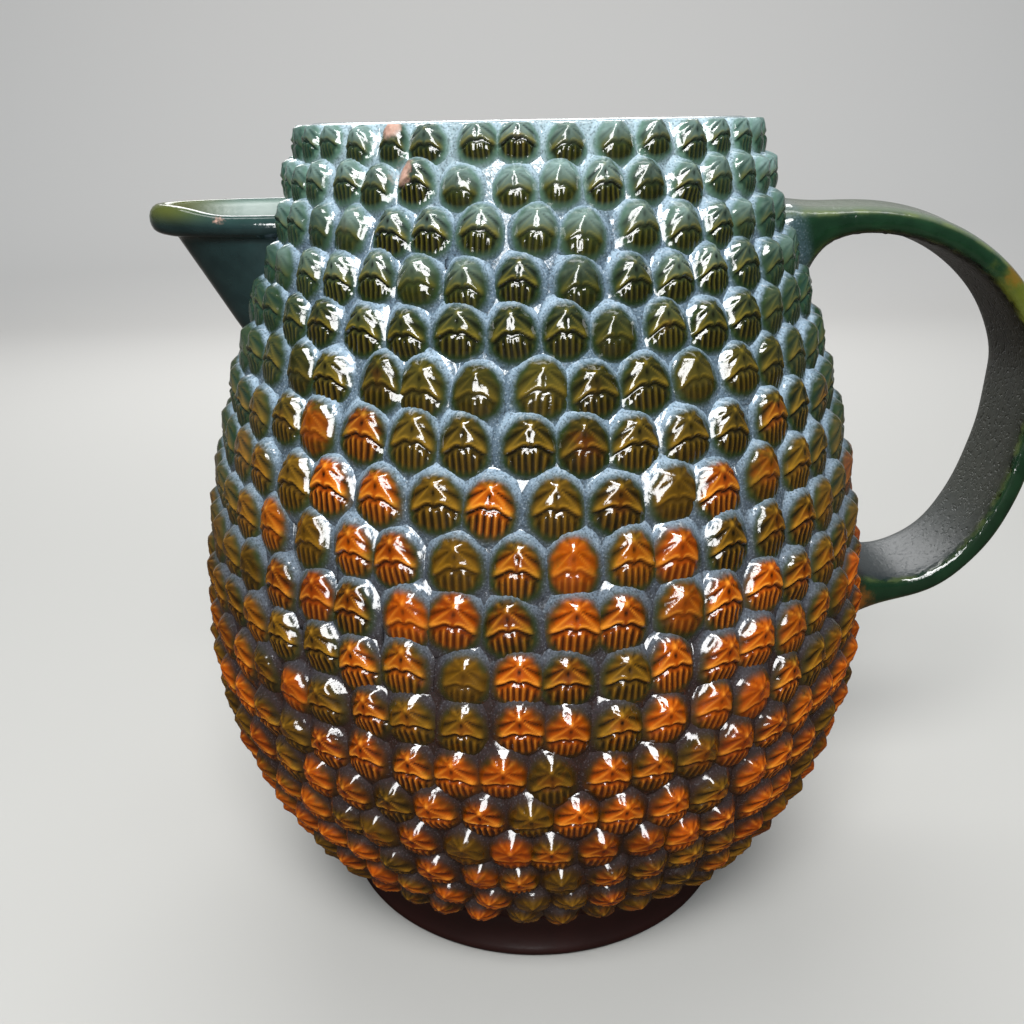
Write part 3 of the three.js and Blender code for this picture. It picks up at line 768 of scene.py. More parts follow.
# %% Lay out the rows
def lay_out_rows():
    spacings = [size_at(i, TOP_SPACING, FOOT_SPACING) for i in range(COURSES)]
    fit = (LINE_LENGTH - RIM_MARGIN - BARE_BAND) / sum(spacings)
    rows, down = [], RIM_MARGIN
    for i, spacing in enumerate(spacings):
        middle = down + spacing * fit / 2
        radius, height = (float(v) for v in on_line(middle))
        out, up = lean_at(middle)
        count = round(2 * math.pi * radius / size_at(i, TOP_WIDTH, FOOT_WIDTH))
        share = UPPER_WIDTH_SHARE + (LOWER_WIDTH_SHARE - UPPER_WIDTH_SHARE) * min(1.0, i / 9)
        half_width = share * math.pi * (radius + 1) / count
        half_height = HEIGHT_SHARE * spacing * fit / 2
        rows.append({
            "Count": count,
            "Radius": radius * MM,
            "Height": height * MM,
            "Lean": math.atan2(up, out),
            "Phase": 1.0 if i % 2 else 0.5,
            "Half Width": half_width * MM,
            "Half Height": half_height * MM,
            "Relief": (UPPER_RELIEF + (LOWER_RELIEF - UPPER_RELIEF) * ramp(i, 9, 13)) * MM,
            "Spout Limit": -limit_at(-1, radius, height, half_height, half_width),
            "Handle Limit": limit_at(1, radius, height, half_height, half_width),
            "Seed": 11 * i + 3,
            "Rim Height": (HEIGHT - RIM_TRIM) * MM,
        })
        down += spacing * fit
    return rows


ROWS = lay_out_rows()
print("rows:", [(r["Count"], round(r["Height"] / MM)) for r in ROWS])

# %% Amber share of each row
# The kiln left the upper rows green. Amber shows from the seventh row down, soon on most of
# the scales, and a little less again near the foot.
AMBER_FROM, AMBER_TO, AMBER_RISE = 5.5, 11.5, 0.45
AMBER_NONE, AMBER_MOST = -0.2, 0.80
FEWER_FROM, FEWER = 12, 0.06

for i, row in enumerate(ROWS):
    share = min(1.0, max(0.0, (i - AMBER_FROM) / (AMBER_TO - AMBER_FROM)))
    row["Amber Share"] = AMBER_NONE + (AMBER_MOST - AMBER_NONE) * share**AMBER_RISE
    row["Amber Share"] -= FEWER * max(0, i - FEWER_FROM)
print("amber shares:", [round(row["Amber Share"], 2) for row in ROWS])

# %% Draws and small steps for the row's node tree
SHIFT_ROUND, SHIFT_UP = 0.10, 0.9 * MM
TURN, TILT = math.radians(6.5), math.radians(4.0)
SIZE_CHANGE = 0.08
DRAWS = ["round", "up", "Half Width", "Half Height", "Relief", "nod", "sway", "turn", "amber", "tone"]
PICK_DRAW = 50


def seed_for(tree, entry, draw):
    """The row's seed moved on by a number of its own for each draw, so that no two agree."""
    return weighed(tree, entry["Seed"], (draw, 1.0))


def chance(tree, entry, draw, low, high):
    """A number between two limits, drawn anew for each scale."""
    links = {2: low, 3: high, 8: seed_for(tree, entry, DRAWS.index(draw))}
    return add_node(tree, "FunctionNodeRandomValue", links, data_type="FLOAT").outputs[1]


def as_rotation(tree, angles):
    """Three angles as one rotation."""
    euler = add_node(tree, "ShaderNodeCombineXYZ", angles).outputs[0]
    return add_node(tree, "FunctionNodeEulerToRotation", (euler,)).outputs[0]


print("draws for each scale:", DRAWS)


# %% Nodes that place the scales
def place_scales(tree, entry):
    """Points round the pot, the angle of each, and whether it is free of spout and handle."""
    index = add_node(tree, "GeometryNodeInputIndex").outputs[0]
    shift = chance(tree, entry, "round", -SHIFT_ROUND, SHIFT_ROUND)
    place = weighed(tree, entry["Phase"], (index, 1.0), (shift, 1.0))
    links = (product(tree, place, 2 * math.pi), entry["Count"])
    angle = add_node(tree, "ShaderNodeMath", links, operation="DIVIDE").outputs[0]
    (cosine, sine), (lean_cosine, lean_sine) = (
        [add_node(tree, "ShaderNodeMath", (of,), operation=o).outputs[0] for o in ("COSINE", "SINE")]
        for of in (angle, entry["Lean"])
    )

    # A small slide along the leaning wall changes both radius and height.
    slide = chance(tree, entry, "up", -SHIFT_UP, SHIFT_UP)
    radius = weighed(tree, entry["Radius"], (product(tree, slide, lean_sine), -1.0))
    height = weighed(tree, entry["Height"], (slide, lean_cosine))
    place = (product(tree, radius, cosine), product(tree, radius, sine), height)
    position = add_node(tree, "ShaderNodeCombineXYZ", place).outputs[0]
    points = add_node(tree, "GeometryNodeMeshLine", {"Count": entry["Count"], "Offset": (0, 0, 0)})
    placed = add_node(tree, "GeometryNodeSetPosition", {"Geometry": points.outputs[0], "Position": position})

    free = product(tree, *(
        add_node(tree, "ShaderNodeMath", (cosine, entry[limit]), operation=test).outputs[0]
        for limit, test in (("Spout Limit", "GREATER_THAN"), ("Handle Limit", "LESS_THAN"))
    ))
    return placed.outputs[0], angle, free


# %% Nodes that press a scale on each point
def press_scales(tree, entry, points, angle, free):
    """One of the stamps on each point, upright on the wall, facing out, and a little askew."""
    upright = weighed(tree, math.pi / 2, (entry["Lean"], -1.0))
    facing = weighed(tree, math.pi / 2, (angle, 1.0))
    sizes = [
        product(tree, entry[name], chance(tree, entry, name, low, high))
        for name, low, high in (
            ("Half Width", 1 - SIZE_CHANGE, 1 + SIZE_CHANGE / 2),
            ("Half Height", 1 - SIZE_CHANGE, 1 + SIZE_CHANGE / 2),
            ("Relief", 1 - 2 * SIZE_CHANGE, 1.0),
        )
    ]
    source_links = {"Collection": entry["Stamps"], "Separate Children": True, "Reset Children": True}
    pick_links = {4: 0, 5: len(STAMP_SORTS) - 1, 8: seed_for(tree, entry, PICK_DRAW)}
    pressed = add_node(tree, "GeometryNodeInstanceOnPoints", {
        "Points": points,
        "Selection": free,
        "Instance": add_node(tree, "GeometryNodeCollectionInfo", source_links).outputs[0],
        "Pick Instance": True,
        "Instance Index": add_node(tree, "FunctionNodeRandomValue", pick_links, data_type="INT").outputs[2],
        "Rotation": as_rotation(tree, {0: upright, 2: facing}),
        "Scale": add_node(tree, "ShaderNodeCombineXYZ", sizes).outputs[0],
    })
    most_askew = {"nod": TILT, "sway": TILT, "turn": TURN}
    askew = as_rotation(tree, [chance(tree, entry, d, -most, most) for d, most in most_askew.items()])
    links = {"Instances": pressed.outputs[0], "Rotation": askew, "Local Space": True}
    return add_node(tree, "GeometryNodeRotateInstances", links).outputs[0]


# %% Make the row's node tree
AMBER_SOFTNESS = 0.30
ROW_INPUTS = {
    "Stamps": "NodeSocketCollection", "Material": "NodeSocketMaterial",
    "Count": "NodeSocketInt", "Seed": "NodeSocketInt",
    **{name: "NodeSocketFloat" for name in ROWS[0] if name not in ("Count", "Seed")},
}


def row_tree():
    tree = bpy.data.node_groups.new("scale_row", "GeometryNodeTree")
    tree.interface.new_socket("Geometry", in_out="OUTPUT", socket_type="NodeSocketGeometry")
    tree.interface.new_socket("Geometry", in_out="INPUT", socket_type="NodeSocketGeometry")
    for name, kind in ROW_INPUTS.items():
        tree.interface.new_socket(name, in_out="INPUT", socket_type=kind)
    entry = add_node(tree, "NodeGroupInput").outputs
    marked = press_scales(tree, entry, *place_scales(tree, entry))

    # What the glaze did on it: how amber it is, and how light.
    low, high = (weighed(tree, s * AMBER_SOFTNESS, (entry["Amber Share"], 1.0)) for s in (1, -1))
    amber_links = {0: chance(tree, entry, "amber", 0.0, 1.0), 1: low, 2: high}
    amber = add_node(tree, "ShaderNodeMapRange", amber_links).outputs[0]
    for name, value in (("amber", amber), ("tone", chance(tree, entry, "tone", 0.0, 1.0))):
        links = {"Geometry": marked, "Name": name, "Value": value}
        attribute = add_node(tree, "GeometryNodeStoreNamedAttribute", links, domain="INSTANCE")
        marked = attribute.outputs[0]
    real = add_node(tree, "GeometryNodeRealizeInstances", (marked,)).outputs[0]

    # Nothing stands above the trimmed rim.
    now = add_node(tree, "GeometryNodeInputPosition").outputs[0]
    x, y, z = add_node(tree, "ShaderNodeSeparateXYZ", (now,)).outputs
    z = add_node(tree, "ShaderNodeMath", (z, entry["Rim Height"]), operation="MINIMUM").outputs[0]
    trimmed = add_node(tree, "ShaderNodeCombineXYZ", (x, y, z)).outputs[0]
    level = add_node(tree, "GeometryNodeSetPosition", {"Geometry": real, "Position": trimmed}).outputs[0]
    glazed = add_node(tree, "GeometryNodeSetMaterial", {"Geometry": level, "Material": entry["Material"]})
    add_node(tree, "NodeGroupOutput", (glazed.outputs[0],))
    return tree


ROW_TREE = row_tree()
print("row tree:", len(ROW_TREE.nodes), "nodes")

# %% [markdown]
# ## Colours
# Colours are picked as sRGB hex values, as a paint program shows them. Blender's shaders work
# in linear light, so one function turns each value. A glaze is never one colour: it is a base
# with others over it, each where the clay, the kiln or the brush put it, so one function lays
# colours over one another by shares from 0 to 1.

# %% Colour helpers
def paint(colour):
    """An sRGB hex colour as linear red, green, blue and alpha; a socket stays as it is."""
    if not isinstance(colour, str):
        return colour
    values = [int(colour[i : i + 2], 16) / 255 for i in (1, 3, 5)]
    return (*[v / 12.92 if v <= 0.04045 else ((v + 0.055) / 1.055) ** 2.4 for v in values], 1.0)


def layered(tree, base, *layers):
    """Colours laid over a base, each with the shares whose product says how much of it shows."""
    base = paint(base)
    for colour, *shares in layers:
        links = {0: product(tree, *shares), 6: base, 7: paint(colour)}
        base = add_node(tree, "ShaderNodeMix", links, data_type="RGBA").outputs[2]
    return base


def new_finish(name, roughness, ior):
    """A material with a bare shader, and its tree."""
    material = bpy.data.materials.new(name)
    material.use_nodes = True
    tree = material.node_tree
    tree.nodes.clear()
    shader = add_node(tree, "ShaderNodeBsdfPrincipled", {"Roughness": roughness, "IOR": ior})
    add_node(tree, "ShaderNodeOutputMaterial", {"Surface": shader.outputs[0]})
    return material, tree, shader


print("olive in linear light:", [round(v, 3) for v in paint("#3C441C")])


# %% Helpers that read the surface
def measure(tree, what):
    """A number of the surface: x, y or z on the pot in metres, or an attribute by its name."""
    if what in ("x", "y", "z"):
        where = add_node(tree, "ShaderNodeTexCoord").outputs["Object"]
        return add_node(tree, "ShaderNodeSeparateXYZ", (where,)).outputs["xyz".index(what)]
    return add_node(tree, "ShaderNodeAttribute", attribute_name=what).outputs["Fac"]


def fade(tree, value, low, high):
    """0 where a value is at low, 1 at high, smooth between; x, y and z count in millimetres."""
    if isinstance(value, str):
        unit = MM if value in ("x", "y", "z") else 1.0
        value, low, high = measure(tree, value), low * unit, high * unit
    links = (value, low, high)
    return add_node(tree, "ShaderNodeMapRange", links, interpolation_type="SMOOTHSTEP").outputs[0]


def mottle(tree, size_mm, detail=3.0):
    """Noise whose blotches are about this size on the pot."""
    where = add_node(tree, "ShaderNodeTexCoord").outputs["Object"]
    links = {"Vector": where, "Scale": 1 / (size_mm * MM), "Detail": detail, "Roughness": 0.55}
    return add_node(tree, "ShaderNodeTexNoise", links).outputs[0]


def spot(tree, at, size):
    """1 near a place on the pot, in millimetres, falling to 0 at its size, with a ragged edge."""
    where = add_node(tree, "ShaderNodeTexCoord").outputs["Object"]
    links = (where, tuple(c * MM for c in at))
    away = add_node(tree, "ShaderNodeVectorMath", links, operation="DISTANCE").outputs["Value"]
    ragged = weighed(tree, -0.4 * size * MM, (mottle(tree, 0.35 * size), 0.8 * size * MM), (away, 1.0))
    return fade(tree, ragged, size * MM, 0.45 * size * MM)


# %% Helpers that finish a material
def colour_it(tree, shader, colour):
    tree.links.new(colour, shader.inputs["Base Color"])


def ripple(tree, shader, waves, depth_mm):
    """The soft unevenness of a run glaze, as a bump of a real depth."""
    bump = add_node(tree, "ShaderNodeBump", {"Height": waves, "Distance": depth_mm * MM, "Strength": 1.0})
    tree.links.new(bump.outputs[0], shader.inputs["Normal"])


def dull_where(tree, shader, share, smooth, rough):
    """Roughness that goes from smooth to rough as a share rises."""
    roughness = add_node(tree, "ShaderNodeMapRange", {0: share, 3: smooth, 4: rough}).outputs[0]
    tree.links.new(roughness, shader.inputs["Roughness"])


def larger(tree, first, second):
    """The larger of two shares: high where either of them is."""
    return add_node(tree, "ShaderNodeMath", (first, second), operation="MAXIMUM").outputs[0]


# %% [markdown]
# ## The milky glaze between the scales
# A tin or zinc glaze ran off the scales and pooled around them. It is cloudy, blue-grey and
# full of tiny specks, and brown-violet near the foot, where the amber glaze mixed into it. It
# is painted whitest above each scale and on its cap: partly where it stands thick, partly as
# painted light where that face looks up. Near the rim it is paler and greener: partly the glaze,
# partly painted light where the wall leans back toward the light above. The wall and the skirts
# of the scales share this colour, so it is made by one function.

# %% The milky colour
def milky_colour(tree, thick):
    """The colour of the pooled glaze; thick goes from 0 where it is thin to 1 where it stands, and on the
    scales it also holds painted light.
    """
    cloud = mottle(tree, 4.0)
    thin = layered(tree, "#1E2B33", ("#4E6474", cloud), ("#1C2429", fade(tree, "z", 230, 140), 0.45))
    standing = layered(tree, "#6A8294", ("#A6BACA", cloud))
    # Near the rim the glaze is painted paler: partly its own colour, partly painted light where the wall
    # leans back toward the light above.
    pale_and_lit_at_rim, browner = fade(tree, "z", 238, 268), fade(tree, "z", 208, 112)
    # The specks are drawn about 0.6 mm wide, a little coarser than the real ones, to show.
    specks = mottle(tree, 0.6, 1.0)
    bright = weighed(tree, 0.30, (browner, -0.25))
    return layered(
        tree, thin,
        (standing, thick),
        ("#B0C6CA", pale_and_lit_at_rim, 0.50),
        ("#281206", browner, 0.96),
        ("#20221F", fade(tree, specks, 0.48, 0.34), 0.50),
        ("#C9D5DC", fade(tree, specks, 0.58, 0.72), bright),
    )


# %% Glaze on the wall, outside and inside
GLAZE_IOR = 1.58  # lead glaze bends light more than window glass, so it mirrors more
WALL_THICK = 0.24  # how thick the milky glaze looks between the scales, from 0 to 1


def wall_glaze():
    """Tin-cloudy lead glaze, poured over earthenware and fired.

    To the eye it is a thick glassy coat: smooth and glossy, clouded in itself, and green inside.
    """
    material, tree, shader = new_finish("milky_lead_glaze", 0.14, GLAZE_IOR)
    inside = layered(tree, "#1B3014", ("#4C6440", mottle(tree, 14.0)))
    milky = milky_colour(tree, WALL_THICK)
    colour_it(tree, shader, layered(tree, milky, (inside, measure(tree, "inside"))))
    ripple(tree, shader, mottle(tree, 1.6, 2.0), 0.10)
    return material


WALL_GLAZE = wall_glaze()
print(WALL_GLAZE.name, "has", len(WALL_GLAZE.node_tree.nodes), "nodes")

# %% [markdown]
# ## The glaze on the scales
# On a raised relief a running glaze sorts itself: it is thin on ridges, where the colour is
# light and warm, and thick in grooves, where it is nearly black. The upper scales fired olive
# green, and the lower ones amber. The stamps carry how deep, how high and how near the edge
# each point is, and each scale carries how amber it is, so the material only mixes.

# %% Olive and amber on the relief
CREST_SHARE = 0.85


def olive_and_amber(tree, mixed):
    """Both glazes on the relief: light and warm on crests, nearly black in grooves."""
    crest, deep, low = measure(tree, "crest"), measure(tree, "deep"), fade(tree, "z", 235, 160)
    # Green scales are browner low on the pot, where iron from the amber glaze mixed in.
    dark, light, lit = (
        layered(tree, green, (brown, low))
        for green, brown in (("#121C0A", "#221A04"), ("#3C441C", "#6C4A0C"), ("#746C26", "#A0741E"))
    )
    olive = layered(tree, dark, (light, mixed), (lit, crest, CREST_SHARE), ("#060702", deep))
    amber = layered(tree, "#642200", ("#B45002", mixed), ("#F49C30", crest, CREST_SHARE), ("#1C0900", deep))
    return olive, amber


def amber_share(tree):
    """Where a scale is amber: in its middle more than at its flanks, and less by the spout."""
    drawn = measure(tree, "amber")
    patch = weighed(tree, -0.25, (measure(tree, "edge"), -1.1), (mottle(tree, 5.0), 1.6), (drawn, 0.9))
    by_the_spout = product(tree, fade(tree, "x", -60, -92), fade(tree, "z", 105, 135))
    return product(tree, drawn, fade(tree, patch, 0.10, 0.75), weighed(tree, 1.0, (by_the_spout, -0.85)))


# %% Colour of a scale, from its peak to the milky pool around it
def scale_colour(tree):
    up, edge = measure(tree, "up"), measure(tree, "edge")
    mixed = weighed(tree, -0.2, (mottle(tree, 3.5), 0.8), (measure(tree, "tone"), 0.6))
    olive, amber = olive_and_amber(tree, mixed)
    colour = layered(
        tree, olive,
        (amber, amber_share(tree)),
        # Painted shade: each scale is darkened below its middle, down over its beard.
        ("#0E0A02", fade(tree, up, 0.0, -0.6), 0.45),
        # Toward the pot's sides, away from its front, and in its upper half, the scales are painted dark
        # green over the brown.
        ("#26463A", fade(tree, "y", -78, -30), fade(tree, "z", 120, 180), 0.62),
        # Painted reflection of the light above: a pale veil over the upper half of each scale in the top
        # rows, kept out of the grooves.
        ("#8CA8A6", mixed, fade(tree, "z", 215, 262), fade(tree, up, -0.3, 0.6),
         weighed(tree, 1.0, (measure(tree, "deep"), -0.9)), 0.9),
    )

    # The flanks beside the figure run green, and brown low on the pot.
    milkier = fade(tree, "z", 225, 262)
    green = layered(tree, "#20361C", ("#301E08", fade(tree, "z", 160, 80)), ("#567666", milkier))
    flank = larger(tree, weighed(tree, 1.0, (measure(tree, "figure"), -1.0)), fade(tree, edge, 0.66, 0.92))

    # The milky pool round the scale climbs its cap, and ends sharper under its beard. Above the
    # scale and on its cap the pool is painted lighter: partly thicker glaze, partly painted light
    # where it faces up.
    above = product(tree, fade(tree, up, 0.0, 0.8), fade(tree, edge, 1.25, 1.05))
    pool = milky_colour(tree, weighed(tree, WALL_THICK, (above, 1 - WALL_THICK)))
    climb = weighed(tree, -0.08, (mottle(tree, 2.0), 0.16), (edge, 1.0), (fade(tree, up, -0.6, 0.9), 0.15))
    return layered(tree, colour, (green, flank, 0.75), (pool, fade(tree, climb, 0.84, 1.14)))


# %% Glaze on the scales
CHIPS = (((-37.7, -63, 269.5), 4.5), ((-35.4, -69, 258.5), 5.0))


def scale_glaze():
    """Transparent copper-green and iron-amber lead glazes, run over red clay in the fire.

    To the eye they are coloured glass on the relief: sharp highlights, dark grooves, and two
    flakes, at the rim and on a scale below it, where the glaze is gone and dry clay shows.
    """
    material, tree, shader = new_finish("green_and_amber_lead_glaze", 0.10, GLAZE_IOR)
    chips = larger(tree, *(spot(tree, *chip) for chip in CHIPS))
    clay = layered(tree, "#8A5A48", ("#D9B5A2", mottle(tree, 1.0)))
    colour_it(tree, shader, layered(tree, scale_colour(tree), (clay, chips)))
    dull_where(tree, shader, chips, 0.10, 0.8)
    ripple(tree, shader, mottle(tree, 1.2, 2.0), 0.05)
    return material


SCALE_GLAZE = scale_glaze()
print(SCALE_GLAZE.name, "has", len(SCALE_GLAZE.node_tree.nodes), "nodes")

# %% [markdown]
# ## The smooth glazes
# The spout and the handle are plain clay under a dark copper-green glaze. It breaks to olive
# and yellow along their edges, pools milky where they join the wall, and an amber splash ran
# down the outside of the handle. The inside of the handle got little glaze and is dull and
# pitted. The foot was dipped in a dark iron glaze, maroon and glossy.

# %% Dark green glaze of the handle
# Streaks of amber and yellow on the outside: where, how large and which colour.
HANDLE_STREAKS = (
    ((160, -14, 215), 17, "#5E6420"), ((168, -12, 200), 12, "#5E5E20"),
    ((154, -16, 221), 5, "#6E4E18"), ((113, -16, 108), 10, "#8A4E10"),
)


def handle_glaze():
    """Copper-green lead glaze, brushed on the strap and fired.

    To the eye it is dark bottle glass, olive on its edges, and painted paler on top as a painted reflection
    of the light above.
    The inner face got little of it, so that face is grey and dull with small pits.
    """
    material, tree, shader = new_finish("copper_green_lead_glaze", 0.12, GLAZE_IOR)
    outer, low = measure(tree, "outer"), fade(tree, "z", 150, 110)
    inner = fade(tree, outer, -0.62, -0.86)
    bare = layered(tree, "#1F221C", ("#40423A", mottle(tree, 3.0)), ("#1E262E", low, 0.8))
    colour_it(tree, shader, layered(
        tree, "#07160C",
        ("#1A3822", mottle(tree, 9.0)),
        # Painted reflection of the light above: the back of the strap is paler near its top.
        ("#788270", fade(tree, outer, 0.55, 0.9), 0.65, fade(tree, "z", 205, 232)),
        ("#6C7840", measure(tree, "arris"), fade(tree, mottle(tree, 6.0), 0.35, 0.6), 0.6),
        *((shade, spot(tree, at, size), 0.65) for at, size, shade in HANDLE_STREAKS),
        (bare, inner, 0.9),
        (milky_colour(tree, 0.1), fade(tree, "near_wall", 0.55, 1.0), 0.45),
    ))
    dull_where(tree, shader, inner, 0.12, 0.42)
    fewer = weighed(tree, 1.0, (low, -0.8))
    pits = product(tree, fade(tree, mottle(tree, 1.6, 2.0), 0.48, 0.30), fewer, inner)
    ripple(tree, shader, weighed(tree, mottle(tree, 3.0, 2.0), (pits, -1.4)), 0.15)
    return material


HANDLE_GLAZE = handle_glaze()
print(HANDLE_GLAZE.name, "has", len(HANDLE_GLAZE.node_tree.nodes), "nodes")


# %% Dark green glaze of the spout
def spout_glaze():
    """The same copper glaze where it was poured thick on the spout.

    To the eye it is blue-black on the funnel, olive at the tip and milky in the channel, and a
    flake is gone from the near lip, so that the clay shows pink and dry.
    """
    material, tree, shader = new_finish("green_lead_glaze_of_the_spout", 0.12, GLAZE_IOR)
    tip, channel_here = fade(tree, "x", -94, -116), measure(tree, "channel")
    chip = spot(tree, (-97, -20, 244), 3.4)
    colour_it(tree, shader, layered(
        tree, "#0E1A1B",
        ("#263A3A", mottle(tree, 9.0)),
        # Lighter and bluer over the lip: partly the glaze there, partly a painted reflection of the light
        # above.
        (layered(tree, "#345048", ("#545A22", tip)), fade(tree, "z", 239.5, 245.5), 0.8),
        (layered(tree, "#687E74", ("#4A4E22", tip)), channel_here, 0.85),
        ("#B58A78", chip),
    ))
    dull_where(tree, shader, larger(tree, chip, product(tree, channel_here, 0.45)), 0.12, 0.8)
    ripple(tree, shader, mottle(tree, 4.0, 2.0), 0.15)
    return material


SPOUT_GLAZE = spout_glaze()
print(SPOUT_GLAZE.name, "has", len(SPOUT_GLAZE.node_tree.nodes), "nodes")


# %% Glaze of the foot, and bare clay
def plain_finish(name, roughness, ior, dark, light, blotch_mm, waves_mm, depth_mm):
    """A finish of two mottled colours with one soft bump."""
    material, tree, shader = new_finish(name, roughness, ior)
    colour_it(tree, shader, layered(tree, dark, (light, mottle(tree, blotch_mm))))
    ripple(tree, shader, mottle(tree, waves_mm, 2.0), depth_mm)
    return material


# Iron-brown lead glaze, dipped: nearly black maroon, with a broad, slightly soft highlight.
FOOT_GLAZE = plain_finish("maroon_iron_glaze", 0.16, GLAZE_IOR, "#150807", "#2B110E", 20.0, 6.0, 0.15)
# Red earthenware left bare: porous, so it is dry and matt, with darker grains.
CLAY = plain_finish("bare_red_earthenware", 0.9, 1.5, "#8E5238", "#B87656", 3.0, 0.7, 0.10)
print("plain finishes:", FOOT_GLAZE.name, CLAY.name)

# %% Put the finishes on the plain pieces
INSIDE_FROM, INSIDE_TO = 1.0, 4.0  # how deep in the wall the outer glaze gives way to the inner

for piece, material in (
    (beak_spout, SPOUT_GLAZE), (strap_handle, HANDLE_GLAZE), (foot_ring, FOOT_GLAZE),
    (base_disc, CLAY), (pot_wall, WALL_GLAZE),
):
    piece.data.materials.append(material)
spots = np.array([v.co for v in pot_wall.data.vertices]) / MM
depth = wall_radius(spots[:, 2]) - np.hypot(spots[:, 0], spots[:, 1])
store(pot_wall, "inside", ramp(depth, INSIDE_FROM, INSIDE_TO))
print("share of the wall's points inside:", round(float((depth > INSIDE_TO).mean()), 2))

# %% [markdown]
# ## Make the rows real
# The export drops instances, so each row is turned into a plain mesh: the tree runs on an
# empty mesh, its result is copied out, and the modifier goes. Row 3 and row 4 each stand for
# two CAD nodes, a front and a back run.

# %% Build the eighteen rows
def build_row(number, sizes):
    name = f"scale_row_{number:02d}"
    row = new_piece(name, [(0, 0, 0)], [])
    modifier = row.modifiers.new("scale_row", "NODES")
    modifier.node_group = ROW_TREE
    sockets = {s.name: s.identifier for s in ROW_TREE.interface.items_tree if s.in_out == "INPUT"}
    for key, value in {**sizes, "Stamps": stamps, "Material": SCALE_GLAZE}.items():
        modifier[sockets[key]] = value
    take_mesh(row)
    row.data.name = name
    row.data.shade_smooth()
    return row


scale_rows = [build_row(i + 1, sizes) for i, sizes in enumerate(ROWS)]
print("rows made:", len(scale_rows), "faces:", sum(len(r.data.polygons) for r in scale_rows))
for stamp in list(stamps.objects):
    bpy.data.objects.remove(stamp)


# %% Tie each piece to the pot and its CAD nodes
def finish_piece(piece, nodes):
    """The piece rides on the pot and stands for its CAD nodes."""
    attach(piece, "root")
    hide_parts(*nodes)
    triangles = sum(len(p.vertices) - 2 for p in piece.data.polygons)
    print(piece.name, "stands for", len(nodes), "nodes with", triangles, "triangles")


finish_piece(pot_wall, ["body_wall"])
finish_piece(foot_ring, ["foot_ring"])
finish_piece(base_disc, ["base_slab"])
finish_piece(beak_spout, ["spout"])
finish_piece(strap_handle, ["handle_strap", "handle_upper_pad", "handle_lower_pad"])
for number, row in enumerate(scale_rows, 1):
    covered = [n for n in sorted(frame["nodes"]) if n.startswith(f"scale_course_{number:02d}")]
    finish_piece(row, covered)

# %% [markdown]
# ## Floor and light
# A pale sheet lies under the pot and sweeps up behind it, as in a photographer's studio. A
# large soft lamp hangs in front and overhead: its mirror image is the white star on each upper
# scale. A low lamp opens the shadows under the belly, a lamp behind draws the rim of the spout
# and the handle, and one more lights only the backdrop. The world gives an even fill.

# %% Floor
def swept_floor(front=-2.2, back=1.1, sweep=0.9, top=2.6, half=2.6):
    """A sheet that lies flat to the back and then turns up, in metres."""
    turn = np.linspace(0, np.pi / 2, 25)
    curve = np.stack([back + sweep * np.sin(turn), sweep * (1 - np.cos(turn))], 1)
    line = np.vstack([[front, 0], curve, [back + sweep, top]])
    points = [(side * half, y, z) for y, z in line for side in (-1, 1)]
    return new_piece("floor", np.array(points) / MM, grid_faces(len(line), 2, flip=True))


def paper():
    """Matt paper from a roll: no gloss, so all it shows is the pot's soft shadow.

    The camera sees it pale grey. Light that bounces off it, or mirrors in the glaze, is browner
    and darker, so the pot's lower scales aren't washed out from below.
    """
    material, tree, shader = new_finish("pale_paper", 0.85, 1.45)
    rays = add_node(tree, "ShaderNodeLightPath").outputs
    further = fade(tree, "y", 200, 1600)
    seen = layered(tree, "#AEADA9", ("#D8D6D2", further))
    mirrored = layered(tree, "#2E2722", ("#B8B6B2", further))
    colour = layered(tree, "#74583F", (seen, rays["Is Camera Ray"]), (mirrored, rays["Is Glossy Ray"]))
    colour_it(tree, shader, colour)
    return material


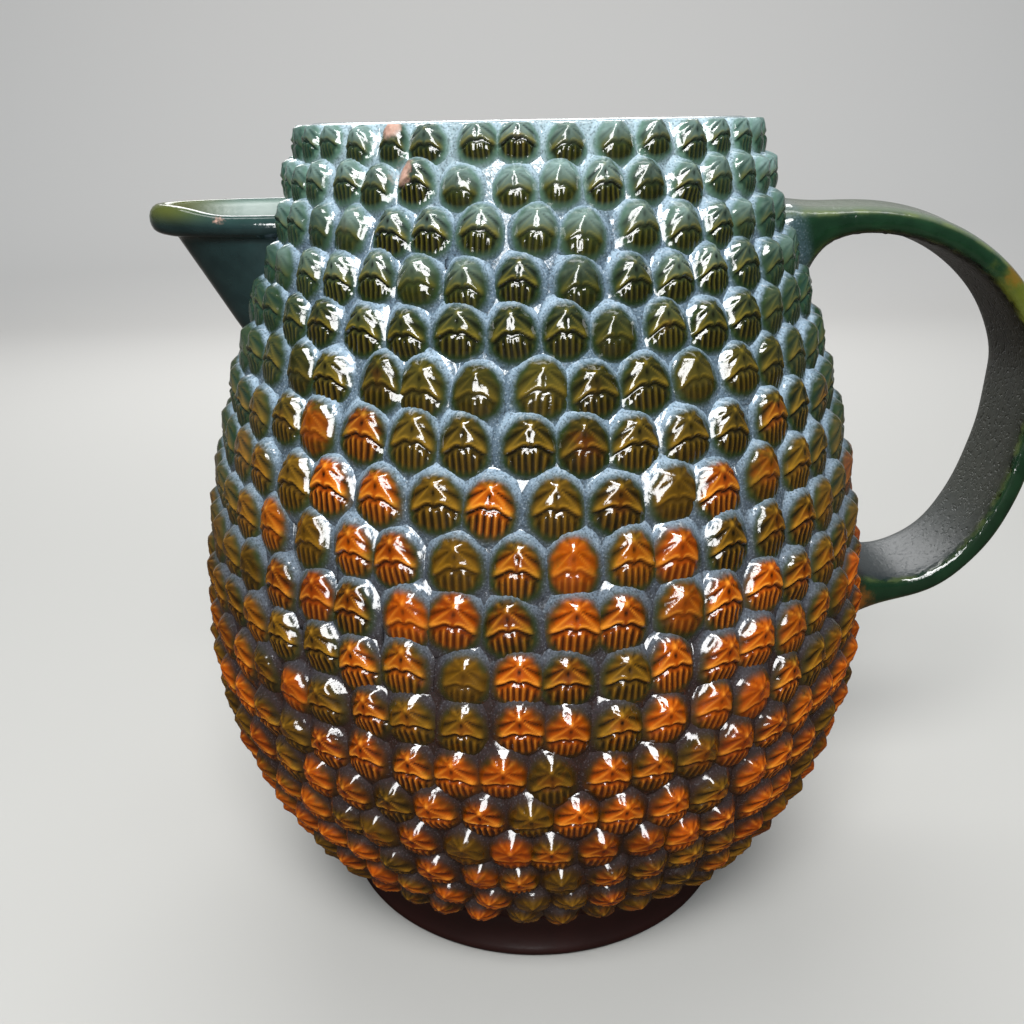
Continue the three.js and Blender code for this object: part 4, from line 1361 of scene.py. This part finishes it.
floor = swept_floor()
floor.data.materials.append(paper())
print("floor:", len(floor.data.polygons), "faces")

# %% Lights
MIDDLE = (0, 0, 0.16)  # the lamps aim here, in metres


def soft_lamp(name, at, size, power, aim=MIDDLE):
    data = bpy.data.lights.new(name, "AREA")
    data.shape = "RECTANGLE"
    data.size, data.size_y = size
    data.energy = power
    lamp = bpy.data.objects.new(name, data)
    bpy.context.scene.collection.objects.link(lamp)
    lamp.location = at
    lamp.rotation_euler = (Vector(aim) - Vector(at)).to_track_quat("-Z", "Y").to_euler()
    return lamp


soft_lamp("key", (-0.05, -0.85, 1.15), (0.70, 0.40), 21.5)
soft_lamp("low", (-0.10, -1.35, 0.60), (0.34, 0.90), 6.0)
# A tall card of light that only shows in the glaze: it draws the highlight on each lower scale.
card = soft_lamp("card", (-0.10, -1.33, 0.62), (0.46, 0.90), 16.0)
card.visible_diffuse = False
soft_lamp("rear", (-0.1, 0.9, 0.8), (1.0, 0.5), 8.0, aim=(0, 0, 0.15))
soft_lamp("backdrop", (0.0, 0.5, 2.0), (2.4, 0.6), 17.0, aim=(0, 1.6, 0.4))

# %% World
FILL, MIRRORED_FILL, SEEN_FILL = 0.50, 0.12, 0.80

world = bpy.data.worlds.new("pale_world")
bpy.context.scene.world = world
world.use_nodes = True
sky = world.node_tree
sky.nodes.clear()
rays = add_node(sky, "ShaderNodeLightPath").outputs
strength = FILL
for ray, other in (("Is Glossy Ray", MIRRORED_FILL), ("Is Camera Ray", SEEN_FILL)):
    strength = add_node(sky, "ShaderNodeMapRange", {0: rays[ray], 3: strength, 4: other}).outputs[0]
tint = layered(sky, "#C3D0DC", ("#D8D6D2", rays["Is Camera Ray"]))
lit = add_node(sky, "ShaderNodeBackground", (tint, strength))
add_node(sky, "ShaderNodeOutputWorld", (lit.outputs[0],))

bpy.context.scene.view_settings.view_transform = "Standard"
print("world:", world.name, "view:", bpy.context.scene.view_settings.view_transform)

# %% [markdown]
# ## Finish

# %% Finish
bpy.context.view_layer.update()
